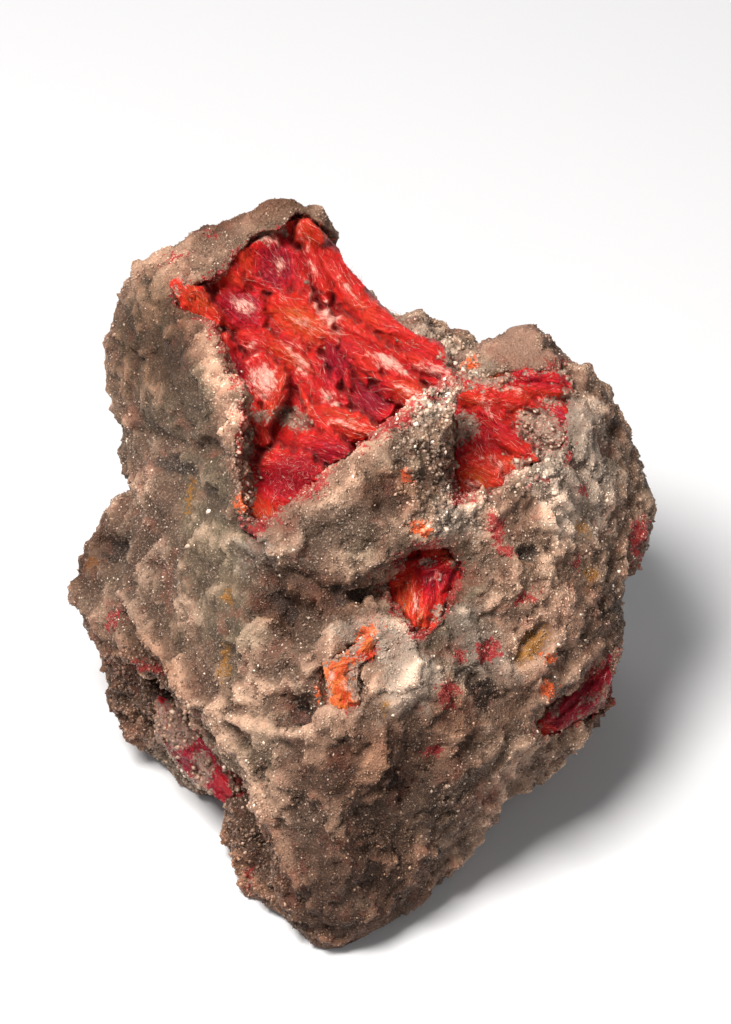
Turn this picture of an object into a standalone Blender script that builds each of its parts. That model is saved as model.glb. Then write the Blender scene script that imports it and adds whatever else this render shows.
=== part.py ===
"""Cuprite on quartz matrix: a broken piece of sugary quartz rock with felted red cuprite in its hollows.

Metres, +Z up. The rock lies leaning back on the flat facet between its tip and its heel, so its showy face
is tipped upward.

Corners are written in millimetres in the face's own frame (x, v, w): x runs right, v runs up the showy face
from the lowest tip, and w stands out of the face towards someone looking at it squarely.
"""

import itertools
import math
import random

import bmesh
import bpy
import numpy as np
from mathutils import Vector, noise

MM = 0.001
LEAN = math.radians(40)          # how far the showy face is tipped back from upright
EYE = 569.0                      # distance at which the corners were read off the face, mm
EYE_LEVEL = 43.8                 # height up the face that the eye looked at squarely, mm
GAP = 0.45                       # least clearance between the rock and each crust, mm
WALL_RELIEF = 0.10               # how far a hollow's rough wall may stand into it, mm
ROCK_GRID = 0.55                 # fusing grid of the rock, mm
ROCK_TRIANGLES = 6600
SWELLS = [(9, 0.75), (3.2, 0.4), (1.4, 0.15)]    # the rock's unevenness: size and height of each, mm
SWELL_FALL = 0.9                 # how fast the finer octaves of a swell fade
SWELL_OCTAVES = 3
CALM_HEIGHT = 2.5                # the unevenness fades out below this height, towards the flat base, mm
BASE_BAND = 0.1                  # whatever ends up this close to the floor is brought level with it, mm
KNOB_SINK = 0.2                  # how far a knob's middle lies under the face it grows from, in its radii
KNOB_UNEVENNESS = (0.8, 1.15)    # least and greatest stretch of a knob's corners
LEAF_DEPTH = 5.0                 # how far each leaf of a crust reaches back into it, mm
LEAF_BRIM = [(0.22, 0.5), (0.78, 0.4), (0.3, -0.43), (0.85, -0.5)]    # shares of a leaf's length and width
LEAF_RIDGE = [(0.25, 0.05, 0.8), (0.7, -0.08, 1.0)]    # shares of a leaf's length, width and crest height
FILL_DEPTH = 14.0                # how far the fill under the leaves reaches back, past the hollow's floor, mm
UNDER_THE_FLOOR = [(-100, 100), (-70, 130), (-40, 0)]    # the room below the flat base, mm
SAME_WAY = 0.9999                # two faces whose normals' cosine is above this lie in one plane

ACROSS = Vector((1, 0, 0))
UP_FACE = Vector((0, math.sin(LEAN), math.cos(LEAN)))
OUT = Vector((0, -math.cos(LEAN), math.sin(LEAN)))

# Convex blocks whose union is the rock, by their corners.
BLOCKS = {
    "core": [
        (-20.5, 48, -7), (-12, 43, 5), (-10.2, 38.5, 8.2), (-6.6, 31, 9.2), (-3.6, 22, 11.2), (3.4, 25, 10.5),
        (4.5, 31, 8.5), (7.9, 40, 6), (11.5, 25, 6.8), (17.4, 22, 2.8), (19.4, 47, 1.8), (23, 54, -4.5),
        (25.9, 35, -7), (26.4, 46, -9), (25.6, 26, -8), (24.8, 23, -10), (-17.5, 24, 1.5),
        (-12.6, 18.8, 4.5), (13.4, 18.8, 3), (19.8, 19.4, -4), (15.4, 15.6, -4.5), (-24.4, 44.5, -14),
        (-25.5, 34, -12), (-24, 29, -8), (-22, 40, -30), (22, 40, -30),
    ],
    "wedge": [
        (-3.8, 22, 11.5), (3.4, 24, 10.5), (-12.6, 19, 4.5), (-10.4, 14.5, 4.2), (-8.8, 9.8, 4),
        (-6.6, 6, 4.2), (-2.6, 9, 8), (-7.4, 2.2, 1.6), (-3.8, -0.6, 0), (-3.4, 3, 4.8), (0, 2.2, 3.4),
        (4.6, 4.2, -0.5), (9.2, 8.4, -3), (13.6, 13.6, -5), (13.4, 18.6, 3), (6.4, 14.5, 5.2),
        (-12, 20, -25), (12, 20, -25), (-9, 4.5, -6.5), (5, 4.5, -6.5),
    ],
    "left_back_lump": [
        (-26.4, 29.3, -16), (-26, 25.8, -17), (-24.2, 22.6, -18), (-22.6, 19.8, -19), (-18, 17, -18),
        (-15, 15.8, -16), (-14, 20, -10), (-18, 27, -9), (-21, 31.5, -10), (-25, 31.5, -14),
        (-24, 28, -30), (-20, 22, -26), (-12, 20, -24),
    ],
    "left_web": [
        (-20, 27, -9), (-14.5, 23.5, -4), (-12.4, 17, -3.5), (-11, 13, -5), (-14, 15, -8), (-19, 20, -12),
        (-22, 25, -13), (-12, 20, -20), (-20, 24, -22),
    ],
    "lower_left_lump": [
        (-14.2, 14.2, -8), (-14.5, 12, -9), (-13.6, 9, -8), (-12.4, 6.6, -6), (-11, 4.8, -5),
        (-9, 4.5, -2), (-8.5, 10, 0), (-9.5, 15, 0), (-12, 16.5, -4), (-12, 15, -16), (-9, 6, -7),
    ],
    "lower_right_slab": [
        (4.9, 5, -5), (7.6, 7.2, -8), (10.9, 10.4, -10), (12.8, 12.6, -10), (13.7, 14.3, -9),
        (10, 15, -2.5), (6.4, 10, -2), (10, 14, -18), (5, 7, -8),
    ],
    "left_bulge": [
        (-24.7, 45.8, -15), (-27.2, 43, -16), (-28.9, 39.6, -17), (-29.1, 37.6, -17), (-28.6, 33.5, -17),
        (-27.9, 31.6, -17), (-24.5, 30.5, -11), (-22.5, 31.5, -7), (-21, 38, -6), (-21.5, 45.5, -9),
        (-24, 44, -30), (-27.5, 36, -28), (-24, 31, -30),
    ],
    "horn": [
        (-22, 68, -10), (-21.4, 66.8, -8), (-20.6, 65, -6.5), (-18.1, 61.5, -3), (-16.6, 59, -0.5),
        (-14.4, 52, 4.5), (-13.2, 47, 6.5), (-11.1, 42, 8.8), (-18.4, 69.9, -9.5), (-15.2, 72.8, -10.5),
        (-10.4, 75, -11.5), (-7.6, 75.7, -12.5), (-4, 74.4, -14.5), (-2.1, 71.6, -16.5),
        (-2.6, 69, -17.5), (-24.3, 66, -15), (-25.9, 63, -18), (-26, 60, -19), (-25, 56.5, -18),
        (-23.6, 51, -15), (-24.3, 46.5, -16), (-20, 69, -27), (-8, 73.5, -25), (-4, 70, -28),
        (-24, 60, -30), (-22, 50, -34), (-4, 48, 9.5), (-2, 60, -6),
    ],
    "saddle_wall": [
        (-2.9, 68.6, -16), (-0.8, 65.4, -16), (1.2, 63.4, -15.6), (3.4, 61.9, -14), (6.6, 60.4, -12),
        (9.5, 59.6, -9), (-4, 69, -28), (2.4, 62, -30), (12, 59.6, -30), (-4, 55, -15), (8, 52, -8),
        (10, 52, -28),
    ],
    "ledge": [
        (-11.2, 41.8, 9.3), (-8.8, 44.2, 10), (-6.6, 45.7, 10.5), (-3.8, 48.8, 10.5), (-0.6, 50.6, 9.5),
        (3.4, 53.3, 8.5), (5.9, 55.6, 7.5), (8.9, 57.2, 5.5), (-9.8, 38.8, 9), (-6.5, 35, 9.4),
        (-3.1, 34.8, 10), (1.2, 37, 10.6), (5.2, 39.4, 9.8), (7.4, 40.4, 8.8), (8.6, 43, 7.6),
        (7.6, 49, 7), (-9, 40, -5), (8, 45, -5), (-8, 50, 0), (6, 58, -5),
    ],
    "right_shoulder": [
        (10, 60, -9), (19.7, 59.2, -9), (23, 57.3, -9), (25.4, 54.6, -10), (27.8, 48.5, -13),
        (9.3, 50, 3), (12, 46, 4), (20, 47, 2), (24, 44, -3), (12, 60, -28), (22, 56, -28), (26, 48, -28),
        (10, 40, -5),
    ],
    "right_bump": [
        (27.9, 47.5, -13), (28.7, 44.5, -13.5), (28.9, 40.8, -13), (28.3, 38.8, -13), (26.3, 37, -11),
        (24, 38, -6), (23.5, 46, -5), (27, 44, -24), (25, 38, -22),
    ],
    "knob_column": [
        (3.6, 48, 7), (7.4, 54.6, 5.6), (9, 56.8, 3.6), (9.8, 52, 2.6), (9.9, 46.4, 4), (12.2, 43.6, 5),
        (8.6, 40.6, 7), (5, 42, 8), (6, 50, -6), (11, 44, -4),
    ],
    "hollow_sill": [
        (8.6, 44.6, 5), (12, 42.6, 5.8), (14.4, 45.4, 4), (19.6, 47.4, 2.4), (19.4, 49.4, 1),
        (13.4, 47, 1.5), (9, 46.2, 2), (10, 44, -5), (19, 47, -5),
    ],
    "saddle_lumps": [
        (1.6, 64.4, -16), (3.4, 64, -15), (6, 61.9, -13.6), (6.4, 61, -13), (2, 62, -15), (4, 60, -18),
        (2, 63, -21), (6.4, 61, -20),
    ],
    "pale_block": [
        (11.2, 60.2, -6), (12.7, 61.8, -7), (15.4, 62.5, -8), (17.1, 62.5, -10), (17.5, 61.2, -6),
        (19.7, 59.2, -7), (19.4, 57.6, -5), (12.2, 57, -4), (12, 60, -16), (18, 61, -16),
    ],
    "back": [
        (-22, 60, -30), (-23, 48, -34), (-24, 40, -33), (-20, 30, -38), (19, 30, -38), (23, 40, -33),
        (24, 50, -30), (18, 57, -32), (-8, 70, -27), (-18, 68, -28), (0, 62, -34), (-10, 45, -41),
        (10, 45, -41), (-6, 55, -39), (8, 54, -38), (-20, 40, -10), (20, 40, -10), (-14, 60, -14),
        (10, 58, -12), (15, 20, -14), (-14, 20, -14), (10, 14, -20), (-8, 10, -16), (-20, 27, -16),
        (-16, 19, -18),
    ],
}

# Knobs of drusy quartz: the block they cover, how many, and their radii.
KNOBS = {
    "left_back_lump": (64, 1.3, 2.2),
    "lower_left_lump": (36, 0.9, 1.5),
    "knob_column": (44, 0.9, 1.5),
    "hollow_sill": (30, 0.8, 1.3),
    "saddle_lumps": (12, 0.7, 1.1),
    "left_bulge": (14, 1.0, 1.6),
}

# Strokes along the face that press it in or raise it: path in (x, v), half width, and height (- presses).
STROKES = [
    ([(-23.1, 52), (-20.6, 51.4), (-18.1, 50.4), (-16, 50.4), (-14.4, 49.4)], 0.9, -1.3),
    ([(-10, 37), (-8.6, 34.5), (-6.6, 33)], 1.8, -1.8),
    ([(-22.6, 45), (-20.5, 38), (-19, 33)], 1.4, -0.8),
    ([(-6.6, 23.9), (-5.2, 23.7)], 1.2, -1.4),
    ([(10.6, 26), (13, 25.2)], 1.2, -1.6),
    ([(14.8, 28.6), (15.8, 30.8), (17.8, 32.6)], 0.9, -0.7),
    ([(16.2, 39.8), (16.9, 39.4)], 0.8, -1.2),
    ([(3, 17.3), (4, 15.2)], 0.6, -1.0),
    ([(6.8, 20), (8, 19.6)], 0.9, -0.8),
    ([(-26.6, 40.4), (-25, 40)], 0.9, -1.4),
    ([(-22.6, 29.5), (-19.1, 26), (-16.1, 20), (-12.6, 15)], 0.7, -0.9),
    ([(-15, 23.5), (-11.6, 22.5), (-7.6, 21.6), (-5.6, 22), (-2.2, 24.6)], 1.0, 0.9),
    ([(-12.4, 39.9), (-9.8, 38.6)], 1.2, 0.8),
    ([(14, 48.8), (19, 48.2)], 1.0, 0.8),
    ([(8, 33), (9, 37), (11, 40)], 1.3, -0.9),
    ([(18, 44), (21, 40), (22, 36)], 1.6, -0.8),
    ([(13, 36), (16, 34), (20, 35)], 1.3, 0.7),
    ([(-18, 45), (-14, 42), (-12, 37)], 1.6, -0.7),
    ([(-17, 36), (-13, 32), (-9, 29)], 1.8, 0.7),
    ([(0, 14), (4, 11), (8, 11)], 1.2, -0.8),
]

# Hollows: the corners of each convex piece that is cut away.
HOLLOWS = {
    "main_upper": [
        (-3.4, 71.2, 14), (0, 71, 14), (9.4, 61.5, 14), (9.1, 57.6, 14), (3.4, 53.4, 14),
        (-11.3, 53.8, 14), (-15.6, 61.6, 14), (-15.4, 67.4, 14), (-13.2, 70.2, 14), (-8.4, 72, 14),
        (-3.2, 71.2, -18.8), (-2.2, 70.2, -18.8), (-8.8, 71.6, -18.4), (-12.6, 69.4, -17), (-14.6, 67, -16),
        (-14.8, 61.6, -14.6), (-11.2, 54, -13), (3, 53.8, -13.6), (8.8, 57.5, -10.8), (7, 62, -13.8),
        (1.6, 66.6, -16.6),
    ],
    "main_top_notch": [
        (-9, 71, 14), (-7.4, 73.8, 14), (-5.2, 73.8, 14), (-2.6, 71.4, 14), (-3.2, 68, 14), (-8.6, 68, 14),
        (-7.2, 73.3, -18.6), (-5.4, 73.3, -18.8), (-3, 70.6, -18.8), (-8.6, 70.6, -18), (-8, 68, -18),
        (-3.4, 68, -18.8),
    ],
    "main_left_notch": [
        (-19.2, 67.4, 14), (-18.9, 64.3, 14), (-16, 62, 14), (-12.4, 62, 14), (-12.4, 67.4, 14),
        (-16.4, 67.2, 14), (-18.7, 66.8, -14.6), (-18.5, 64.8, -14.2), (-15.8, 62.8, -14.2),
        (-12.6, 62.6, -15), (-12.6, 66.8, -16), (-16.2, 66.8, -15.4),
    ],
    "main_lower": [
        (9.1, 57.6, 14), (3.4, 53, 14), (-0.6, 50.2, 14), (-4.1, 47.4, 14), (-8.8, 43.8, 14),
        (-11.2, 41.4, 14), (-12, 43, 14), (-13, 51.5, 14), (-12.2, 57, 14), (0, 58, 14),
        (8.4, 57.2, -10.8), (2, 53.2, -10.8), (-4, 48.4, -8), (-8.4, 44.6, -5), (-10.8, 42.4, -1.6),
        (-12.2, 50, -8), (-11.6, 54.4, -12), (0, 57.4, -13.4),
    ],
    "right": [
        (8.8, 56.6, 12), (13, 58, 12), (20.6, 57, 12), (20.4, 50, 12), (17, 47.4, 12), (13.6, 45.6, 12),
        (9, 44.4, 12), (8.2, 47, 12), (8.2, 52, 12), (9.4, 56, -5), (13.6, 57.2, -6.4), (20, 56.2, -7.6),
        (19.6, 50.4, -5), (16, 48.2, -4), (12.8, 46.6, -3), (9.4, 45.4, -2.4), (8.8, 52, -4),
    ],
    "lower_pocket": [
        (5.2, 40.6, 14), (7.6, 41.4, 14), (9.4, 39.4, 14), (10, 38, 14), (9.4, 36, 14), (6.4, 31.2, 14),
        (4.6, 30.8, 14), (3.2, 33.4, 14), (0.6, 36.7, 14), (5.4, 39.6, 0), (7.8, 39.8, 0), (9, 38.4, 0.4),
        (8.6, 36.4, 0.5), (6.2, 32.4, 3), (4.8, 31.8, 4), (3.6, 34.2, 2), (1.8, 36.5, 1),
    ],
    "crevice": [
        (-5, 33.8, 14), (-2, 36, 14), (1.2, 37.4, 14), (5.2, 40.4, 14), (8, 41.4, 14), (8.4, 39, 14),
        (4, 35.6, 14), (0, 33.8, 14), (-4, 32.6, 14), (-2, 35, 6.5), (2, 37.2, 2.5), (7, 40.4, 1.5),
        (6.4, 38, 1.5), (1, 35.2, 4),
    ],
    "orange_patch": [
        (-4.5, 28.9, 14), (-2, 29.8, 14), (0.4, 31.8, 14), (1.7, 31.2, 14), (1.4, 29.4, 14),
        (-0.4, 24.4, 14), (-2.2, 23.2, 14), (-4, 24, 14), (-4, 28.6, 8), (-2, 29.2, 8), (0.6, 31, 7.6),
        (-0.8, 25, 8.4), (-3.4, 24.4, 8.2),
    ],
    "crimson_seam": [
        (26, 30.8, 3), (28.5, 29.5, 3), (27, 25.4, 3), (24.4, 23.6, 3), (20, 22.2, 3), (18, 20.8, 3),
        (16.4, 21.2, 3), (16.6, 23.6, 3), (19.2, 25.4, 3), (22, 27.4, 3), (24.2, 30.2, 3),
        (25.4, 29, -10.5), (25.2, 26, -11), (23, 24.4, -9.6), (19.6, 22.8, -6), (17.4, 21.8, -3),
        (19.4, 24.8, -5),
    ],
    "left_crevice": [
        (-20.8, 25.2, -4.5), (-17.8, 24.2, -4), (-14.8, 19.8, -3), (-12.9, 16, -3), (-14, 14.8, -3),
        (-17.6, 17.6, -4), (-20.8, 21.8, -5), (-19.2, 23.6, -13.5), (-17.4, 22.4, -12.5), (-14.6, 17.8, -11),
        (-17, 19.4, -12.5),
    ],
}

# Leaves and folds of each crust: start, end, width and crest height.
LEAVES = {
    "cuprite_main_hollow": [
        ((-4.2, 69.2, -14.6), (0, 62.4, -11.2), 3.4, 1.5), ((-0.8, 63.4, -12.4), (6.8, 58, -5.6), 3.6, 1.7),
        ((-5.8, 70.8, -14.2), (-3.8, 64.6, -12), 2.6, 1.2), ((-6.4, 73, -14.6), (-4.2, 70.6, -13.6), 3.4, 1.0),
        ((-11, 71, -13.2), (-7.8, 66, -12.2), 4.8, 1.5), ((-7.2, 70, -13.4), (-5.6, 63.6, -11), 2.2, 1.3),
        ((-9.6, 65.2, -10.8), (-2.7, 60.4, -8), 5.4, 2.4), ((-3.3, 63, -9.8), (0.9, 58.1, -6.2), 4.4, 1.8),
        ((0, 60.3, -8), (5.3, 56.5, -4.2), 3.4, 1.3), ((4, 59.4, -7.4), (8.8, 56.8, -4), 3.0, 1.3),
        ((1.4, 56.8, -5.8), (6.4, 54.9, -3.4), 3.2, 1.4), ((-1.8, 57.2, -8.6), (2.6, 53.5, -6.2), 4.6, 0.9),
        ((-7.4, 60, -8.2), (-3.4, 54.4, -6.4), 4.2, 1.7), ((-5.6, 55.8, -6.8), (-1.6, 54.6, -6), 2.2, 1.0),
        ((-9.8, 60.6, -7.9), (-5.2, 57.6, -6.8), 2.5, 1.5), ((-10.6, 59, -6.8), (-9.5, 52.4, -4.4), 4.4, 1.9),
        ((-12.4, 59, -7.4), (-10.8, 54.8, -5.8), 3.2, 1.2), ((-14.4, 61.8, -8.4), (-12.6, 55.6, -6.2), 2.4, 1.1),
        ((-12.8, 61.6, -8.8), (-9.4, 60, -8), 2.4, 1.0), ((-8.6, 61.6, -9), (-6, 59.8, -8.2), 2.2, 1.0),
        ((-15, 68.4, -10.8), (-12.2, 66, -10), 3.2, 1.4), ((-13.2, 70.4, -12.4), (-11.2, 66.6, -11), 3.0, 1.3),
        ((-14.6, 66, -10.4), (-10.2, 62.4, -9.4), 4.8, 1.2), ((-18.9, 67, -10), (-14.8, 62.6, -8.4), 3.2, 1.3),
        ((-6, 53.8, -5.8), (0.9, 51.9, -3.6), 3.4, 1.3), ((-7, 51, -3.8), (-2.2, 50.4, -2.4), 3.0, 1.0),
        ((-10.6, 48.8, -2.6), (-4.6, 47, -0.6), 4.8, 1.4), ((-11.7, 45.4, 0), (-9.6, 42.4, 3), 2.9, 1.1),
        ((-12, 53.8, -5.8), (-9.8, 50.4, -3.8), 2.6, 0.8), ((-2.6, 67.6, -14.4), (-1, 63.4, -12), 2.4, 1.0),
    ],
    "cuprite_right_hollow": [
        ((9.2, 55.6, -3.4), (16.8, 54.6, -4.2), 3.4, 1.3), ((10.8, 54, -3.6), (15.6, 49.8, -2.4), 3.9, 1.6),
        ((12.6, 51.2, -2.8), (17.4, 48.6, -1.6), 2.9, 1.2), ((9, 49, -1.8), (13.9, 46.2, -0.6), 3.4, 1.3),
        ((14, 56.4, -5.2), (20.4, 55.7, -5.8), 2.4, 1.2), ((15.4, 54, -4.8), (19.9, 50.8, -4), 3.5, 1.3),
        ((9.2, 52, -3), (9.8, 47.6, -2), 2.4, 0.9), ((17, 52, -3.8), (19.6, 50.6, -3.6), 2.0, 1.0),
    ],
    "cuprite_lower_pocket": [
        ((2.2, 36.6, 3.4), (9, 38.8, 3.8), 2.9, 1.2), ((5.4, 39, 2.8), (5, 32.2, 5.8), 3.4, 1.4),
        ((7.8, 38.4, 3.2), (6.1, 33.2, 5.4), 3.0, 1.2), ((3.5, 36.4, 3.4), (4.6, 33, 5.2), 2.4, 1.0),
    ],
    "cuprite_orange_patch": [
        ((-3.9, 29, 9.6), (-2.6, 24, 10.3), 2.3, 0.8), ((-2.6, 28.8, 9.4), (1, 31.2, 9), 1.9, 0.7),
        ((-2.6, 27, 10), (-0.8, 24.8, 10.4), 2.0, 0.8),
    ],
    "cuprite_crimson_seam": [
        ((25.8, 30.2, -7.6), (22.6, 25.4, -5.8), 3.4, 1.1), ((23.4, 26.4, -6.4), (17.2, 22, -1.4), 3.0, 1.1),
        ((25.2, 26.6, -8), (20, 23.2, -4.2), 2.4, 1.0),
    ],
    "cuprite_left_crevice": [
        ((-20.4, 24.4, -9.8), (-15.4, 18.6, -7.6), 3.6, 1.2), ((-16.8, 20.2, -8.2), (-13.2, 15.4, -6), 2.5, 1.0),
    ],
}

# What lies under the leaves: the front of each crust's fill, which reaches back to the hollow's floor.
FILLS = {
    "cuprite_main_hollow": [
        [(-18.8, 66.2, -12.2), (-7, 73.2, -16.4), (-2.4, 70, -17.2), (0.6, 65.2, -15.4), (8, 58.8, -9.8),
         (8.4, 57.4, -8.6), (3, 54, -9.2), (-11, 54, -9.4), (-14.6, 61.4, -11.2)],
        [(8.6, 57.4, -8.6), (2, 53.3, -7.8), (-3.8, 49, -5.6), (-7.4, 45.6, -3.4), (-10.9, 42.2, 0.4),
         (-12.2, 50, -5.8), (-11.6, 54.8, -9), (0, 58, -9.8)],
    ],
    "cuprite_right_hollow": [
        [(9, 56, -4.6), (20.2, 56.4, -7), (19.8, 50.6, -4.8), (13.4, 46.4, -2.2), (9.2, 45, -1.8),
         (8.5, 50, -3.4)],
    ],
    "cuprite_lower_pocket": [
        [(1.4, 36.6, 2.4), (5.4, 40, 1.6), (9.2, 38.8, 2), (8.8, 36.2, 2.6), (5, 31.6, 4.8)],
    ],
    "cuprite_orange_patch": [
        [(-4.2, 28.8, 8.9), (-1.8, 29.4, 8.9), (0.6, 31.4, 8.3), (1.3, 30.6, 8.3), (-0.6, 24.8, 9.5),
         (-3.2, 23.8, 9.3)],
    ],
    "cuprite_crimson_seam": [
        [(25.9, 30.4, -8.4), (26.4, 26, -9), (20, 22.6, -5), (16.8, 21.6, -1.8), (19.2, 25, -4.2),
         (24, 29.6, -8)],
    ],
    "cuprite_left_crevice": [
        [(-20.6, 25, -11), (-17.6, 24, -10), (-13, 15.8, -6.8), (-14, 15, -7.2), (-19, 19.2, -10.4)],
    ],
}

HOLLOWS_OF = {
    "cuprite_main_hollow": ["main_upper", "main_top_notch", "main_left_notch", "main_lower"],
    "cuprite_right_hollow": ["right"],
    "cuprite_lower_pocket": ["lower_pocket"],
    "cuprite_orange_patch": ["orange_patch"],
    "cuprite_crimson_seam": ["crimson_seam"],
    "cuprite_left_crevice": ["left_crevice"],
}

# Base colour and roughness of each piece.
FINISHES = {
    "matrix": ((0.38, 0.31, 0.26), 0.75),
    "cuprite_main_hollow": ((0.60, 0.05, 0.02), 0.40),
    "cuprite_right_hollow": ((0.55, 0.06, 0.02), 0.45),
    "cuprite_lower_pocket": ((0.60, 0.06, 0.02), 0.45),
    "cuprite_orange_patch": ((0.62, 0.13, 0.04), 0.50),
    "cuprite_crimson_seam": ((0.36, 0.01, 0.03), 0.50),
    "cuprite_left_crevice": ((0.25, 0.01, 0.015), 0.50),
}


def world_point(corner):
    """A corner of the face's frame in metres; deeper ones fan out, because they were read from EYE away."""
    x, v, w = corner
    fan = 1 - w / EYE
    return (ACROSS * (x * fan) + UP_FACE * (EYE_LEVEL + (v - EYE_LEVEL) * fan) + OUT * w) * MM


def new_object(name, mesh, collection):
    made = bpy.data.objects.new(name, mesh)
    collection.objects.link(made)
    return made


def keep_mesh(shape, name):
    mesh = bpy.data.meshes.new(name)
    shape.to_mesh(mesh)
    shape.free()
    return mesh


def convex_solid(name, points, collection):
    """The convex solid that wraps a set of world points."""
    shape = bmesh.new()
    for point in points:
        shape.verts.new(point)
    wrap = bmesh.ops.convex_hull(shape, input=shape.verts)
    inside = [v for v in wrap["geom_interior"] if isinstance(v, bmesh.types.BMVert)]
    bmesh.ops.delete(shape, geom=inside, context="VERTS")
    bmesh.ops.recalc_face_normals(shape, faces=shape.faces)
    return new_object(name, keep_mesh(shape, name), collection)


def bake(target):
    """Replace an object's mesh by what its modifiers make of it."""
    depsgraph = bpy.context.evaluated_depsgraph_get()
    mesh = bpy.data.meshes.new_from_object(target.evaluated_get(depsgraph))
    target.modifiers.clear()
    target.data = mesh


def fuse(name, pieces, grid, collection):
    """Fuse overlapping solids into one skin on a fine grid."""
    shape = bmesh.new()
    for piece in pieces:
        shape.from_mesh(piece.data)
    made = new_object(name, keep_mesh(shape, name), collection)
    step = made.modifiers.new("fuse", "REMESH")
    step.mode = "VOXEL"
    step.voxel_size = grid * MM
    bake(made)
    return made


def drop_crumbs(target):
    """Delete the loose crumbs that a cut leaves, keeping the largest body."""
    shape = bmesh.new()
    shape.from_mesh(target.data)
    bodies = []
    waiting = set(shape.verts)
    while waiting:
        front = [waiting.pop()]
        body = list(front)
        while front:
            here = front.pop()
            reached = {edge.other_vert(here) for edge in here.link_edges} & waiting
            waiting -= reached
            front += reached
            body += reached
        bodies.append(body)
    bodies.sort(key=len)
    for body in bodies[:-1]:
        bmesh.ops.delete(shape, geom=body, context="VERTS")
    shape.to_mesh(target.data)
    shape.free()


def combine(target, other, operation):
    step = target.modifiers.new(operation.lower(), "BOOLEAN")
    step.operation = operation
    step.solver = "EXACT"
    step.object = other
    bake(target)


def thin_out(target, triangles):
    """Collapse a fine skin to about a number of triangles, keeping its edges."""
    step = target.modifiers.new("thin", "DECIMATE")
    step.ratio = triangles / sum(len(face.vertices) - 2 for face in target.data.polygons)
    bake(target)


def knob(block, radius, rng, collection):
    """A blunt quartz knob, half sunk in a block at a random place on it: an uneven ball of few faces."""
    face = rng.choices(block.data.polygons, [polygon.area for polygon in block.data.polygons])[0]
    a, b, c = (block.data.vertices[index].co for index in face.vertices[:3])
    s, t = sorted((rng.random(), rng.random()))
    centre = a * s + b * (t - s) + c * (1 - t) - face.normal * radius * KNOB_SINK * MM
    shape = bmesh.new()
    bmesh.ops.create_icosphere(shape, subdivisions=1, radius=radius * MM)
    for vertex in shape.verts:
        vertex.co *= rng.uniform(*KNOB_UNEVENNESS)
        vertex.co += centre
    return new_object("knob", keep_mesh(shape, "knob"), collection)


def shrunk(name, solid, inset, collection):
    """A convex solid with each of its faces moved inward by an inset."""
    shape = bmesh.new()
    shape.from_mesh(solid.data)
    planes = []
    for face in shape.faces:
        if all(face.normal.dot(normal) < SAME_WAY for _, normal in planes):
            planes.append((face.calc_center_median(), face.normal.copy()))
    for centre, normal in planes:
        everything = shape.verts[:] + shape.edges[:] + shape.faces[:]
        cut = bmesh.ops.bisect_plane(shape, geom=everything, plane_co=centre - normal * inset * MM,
                                     plane_no=normal, clear_outer=True)
        rim = [edge for edge in cut["geom_cut"] if isinstance(edge, bmesh.types.BMEdge)]
        if rim:
            bmesh.ops.edgeloop_fill(shape, edges=rim)
    bmesh.ops.recalc_face_normals(shape, faces=shape.faces)
    return new_object(name, keep_mesh(shape, name), collection)


def leaf_points(start, end, width, crest):
    """A folded leaf: a ridge between two blunt ends, reaching LEAF_DEPTH back into the crust."""
    start = Vector(start)
    along = Vector(end) - start
    side = Vector((-along.y, along.x, 0)).normalized() * width
    lift = Vector((0, 0, crest))
    rim = [start, start + along] + [start + along * far + side * aside for far, aside in LEAF_BRIM]
    ridge = [start + along * far + side * aside + lift * high for far, aside, high in LEAF_RIDGE]
    return rim + ridge + [corner - Vector((0, 0, LEAF_DEPTH)) for corner in rim]


def skin_arrays(target):
    """Vertex places and normals of an object as arrays, metres."""
    count = len(target.data.vertices)
    places = np.empty(count * 3)
    normals = np.empty(count * 3)
    target.data.vertices.foreach_get("co", places)
    target.data.vertices.foreach_get("normal", normals)
    return places.reshape(-1, 3), normals.reshape(-1, 3)


def roughen(target, swells):
    """Push a skin in and out along its normals by sums of fractal noise: (size in mm, height in mm)."""
    places, normals = skin_arrays(target)
    height = np.zeros(len(places))
    for size, amount in swells:
        for index, place in enumerate(places / (size * MM)):
            height[index] += amount * noise.fractal(Vector(place), SWELL_FALL, 2.0, SWELL_OCTAVES)
    height *= np.clip(places[:, 2] / (CALM_HEIGHT * MM), 0, 1)
    places += normals * height[:, None] * MM
    target.data.vertices.foreach_set("co", places.ravel())
    target.data.update()


def press_strokes(target, strokes):
    """Raise or press the skin that faces out of the face, along each stroke."""
    places, normals = skin_arrays(target)
    out = np.array(OUT)
    depth = places @ out / MM
    fan = 1 - depth / EYE
    x = places @ np.array(ACROSS) / MM / fan
    v = EYE_LEVEL + (places @ np.array(UP_FACE) / MM - EYE_LEVEL) / fan
    facing = np.clip(normals @ out * 2, 0, 1)
    height = np.zeros(len(places))
    for path, half_width, amount in strokes:
        nearest = np.full(len(places), np.inf)
        for (x0, v0), (x1, v1) in zip(path, path[1:]):
            dx, dv = x1 - x0, v1 - v0
            share = np.clip(((x - x0) * dx + (v - v0) * dv) / (dx * dx + dv * dv), 0, 1)
            nearest = np.minimum(nearest, np.hypot(x - x0 - share * dx, v - v0 - share * dv))
        height += amount * np.exp(-((nearest / half_width) ** 2))
    places += out * (height * facing)[:, None] * MM
    target.data.vertices.foreach_set("co", places.ravel())
    target.data.update()


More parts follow.
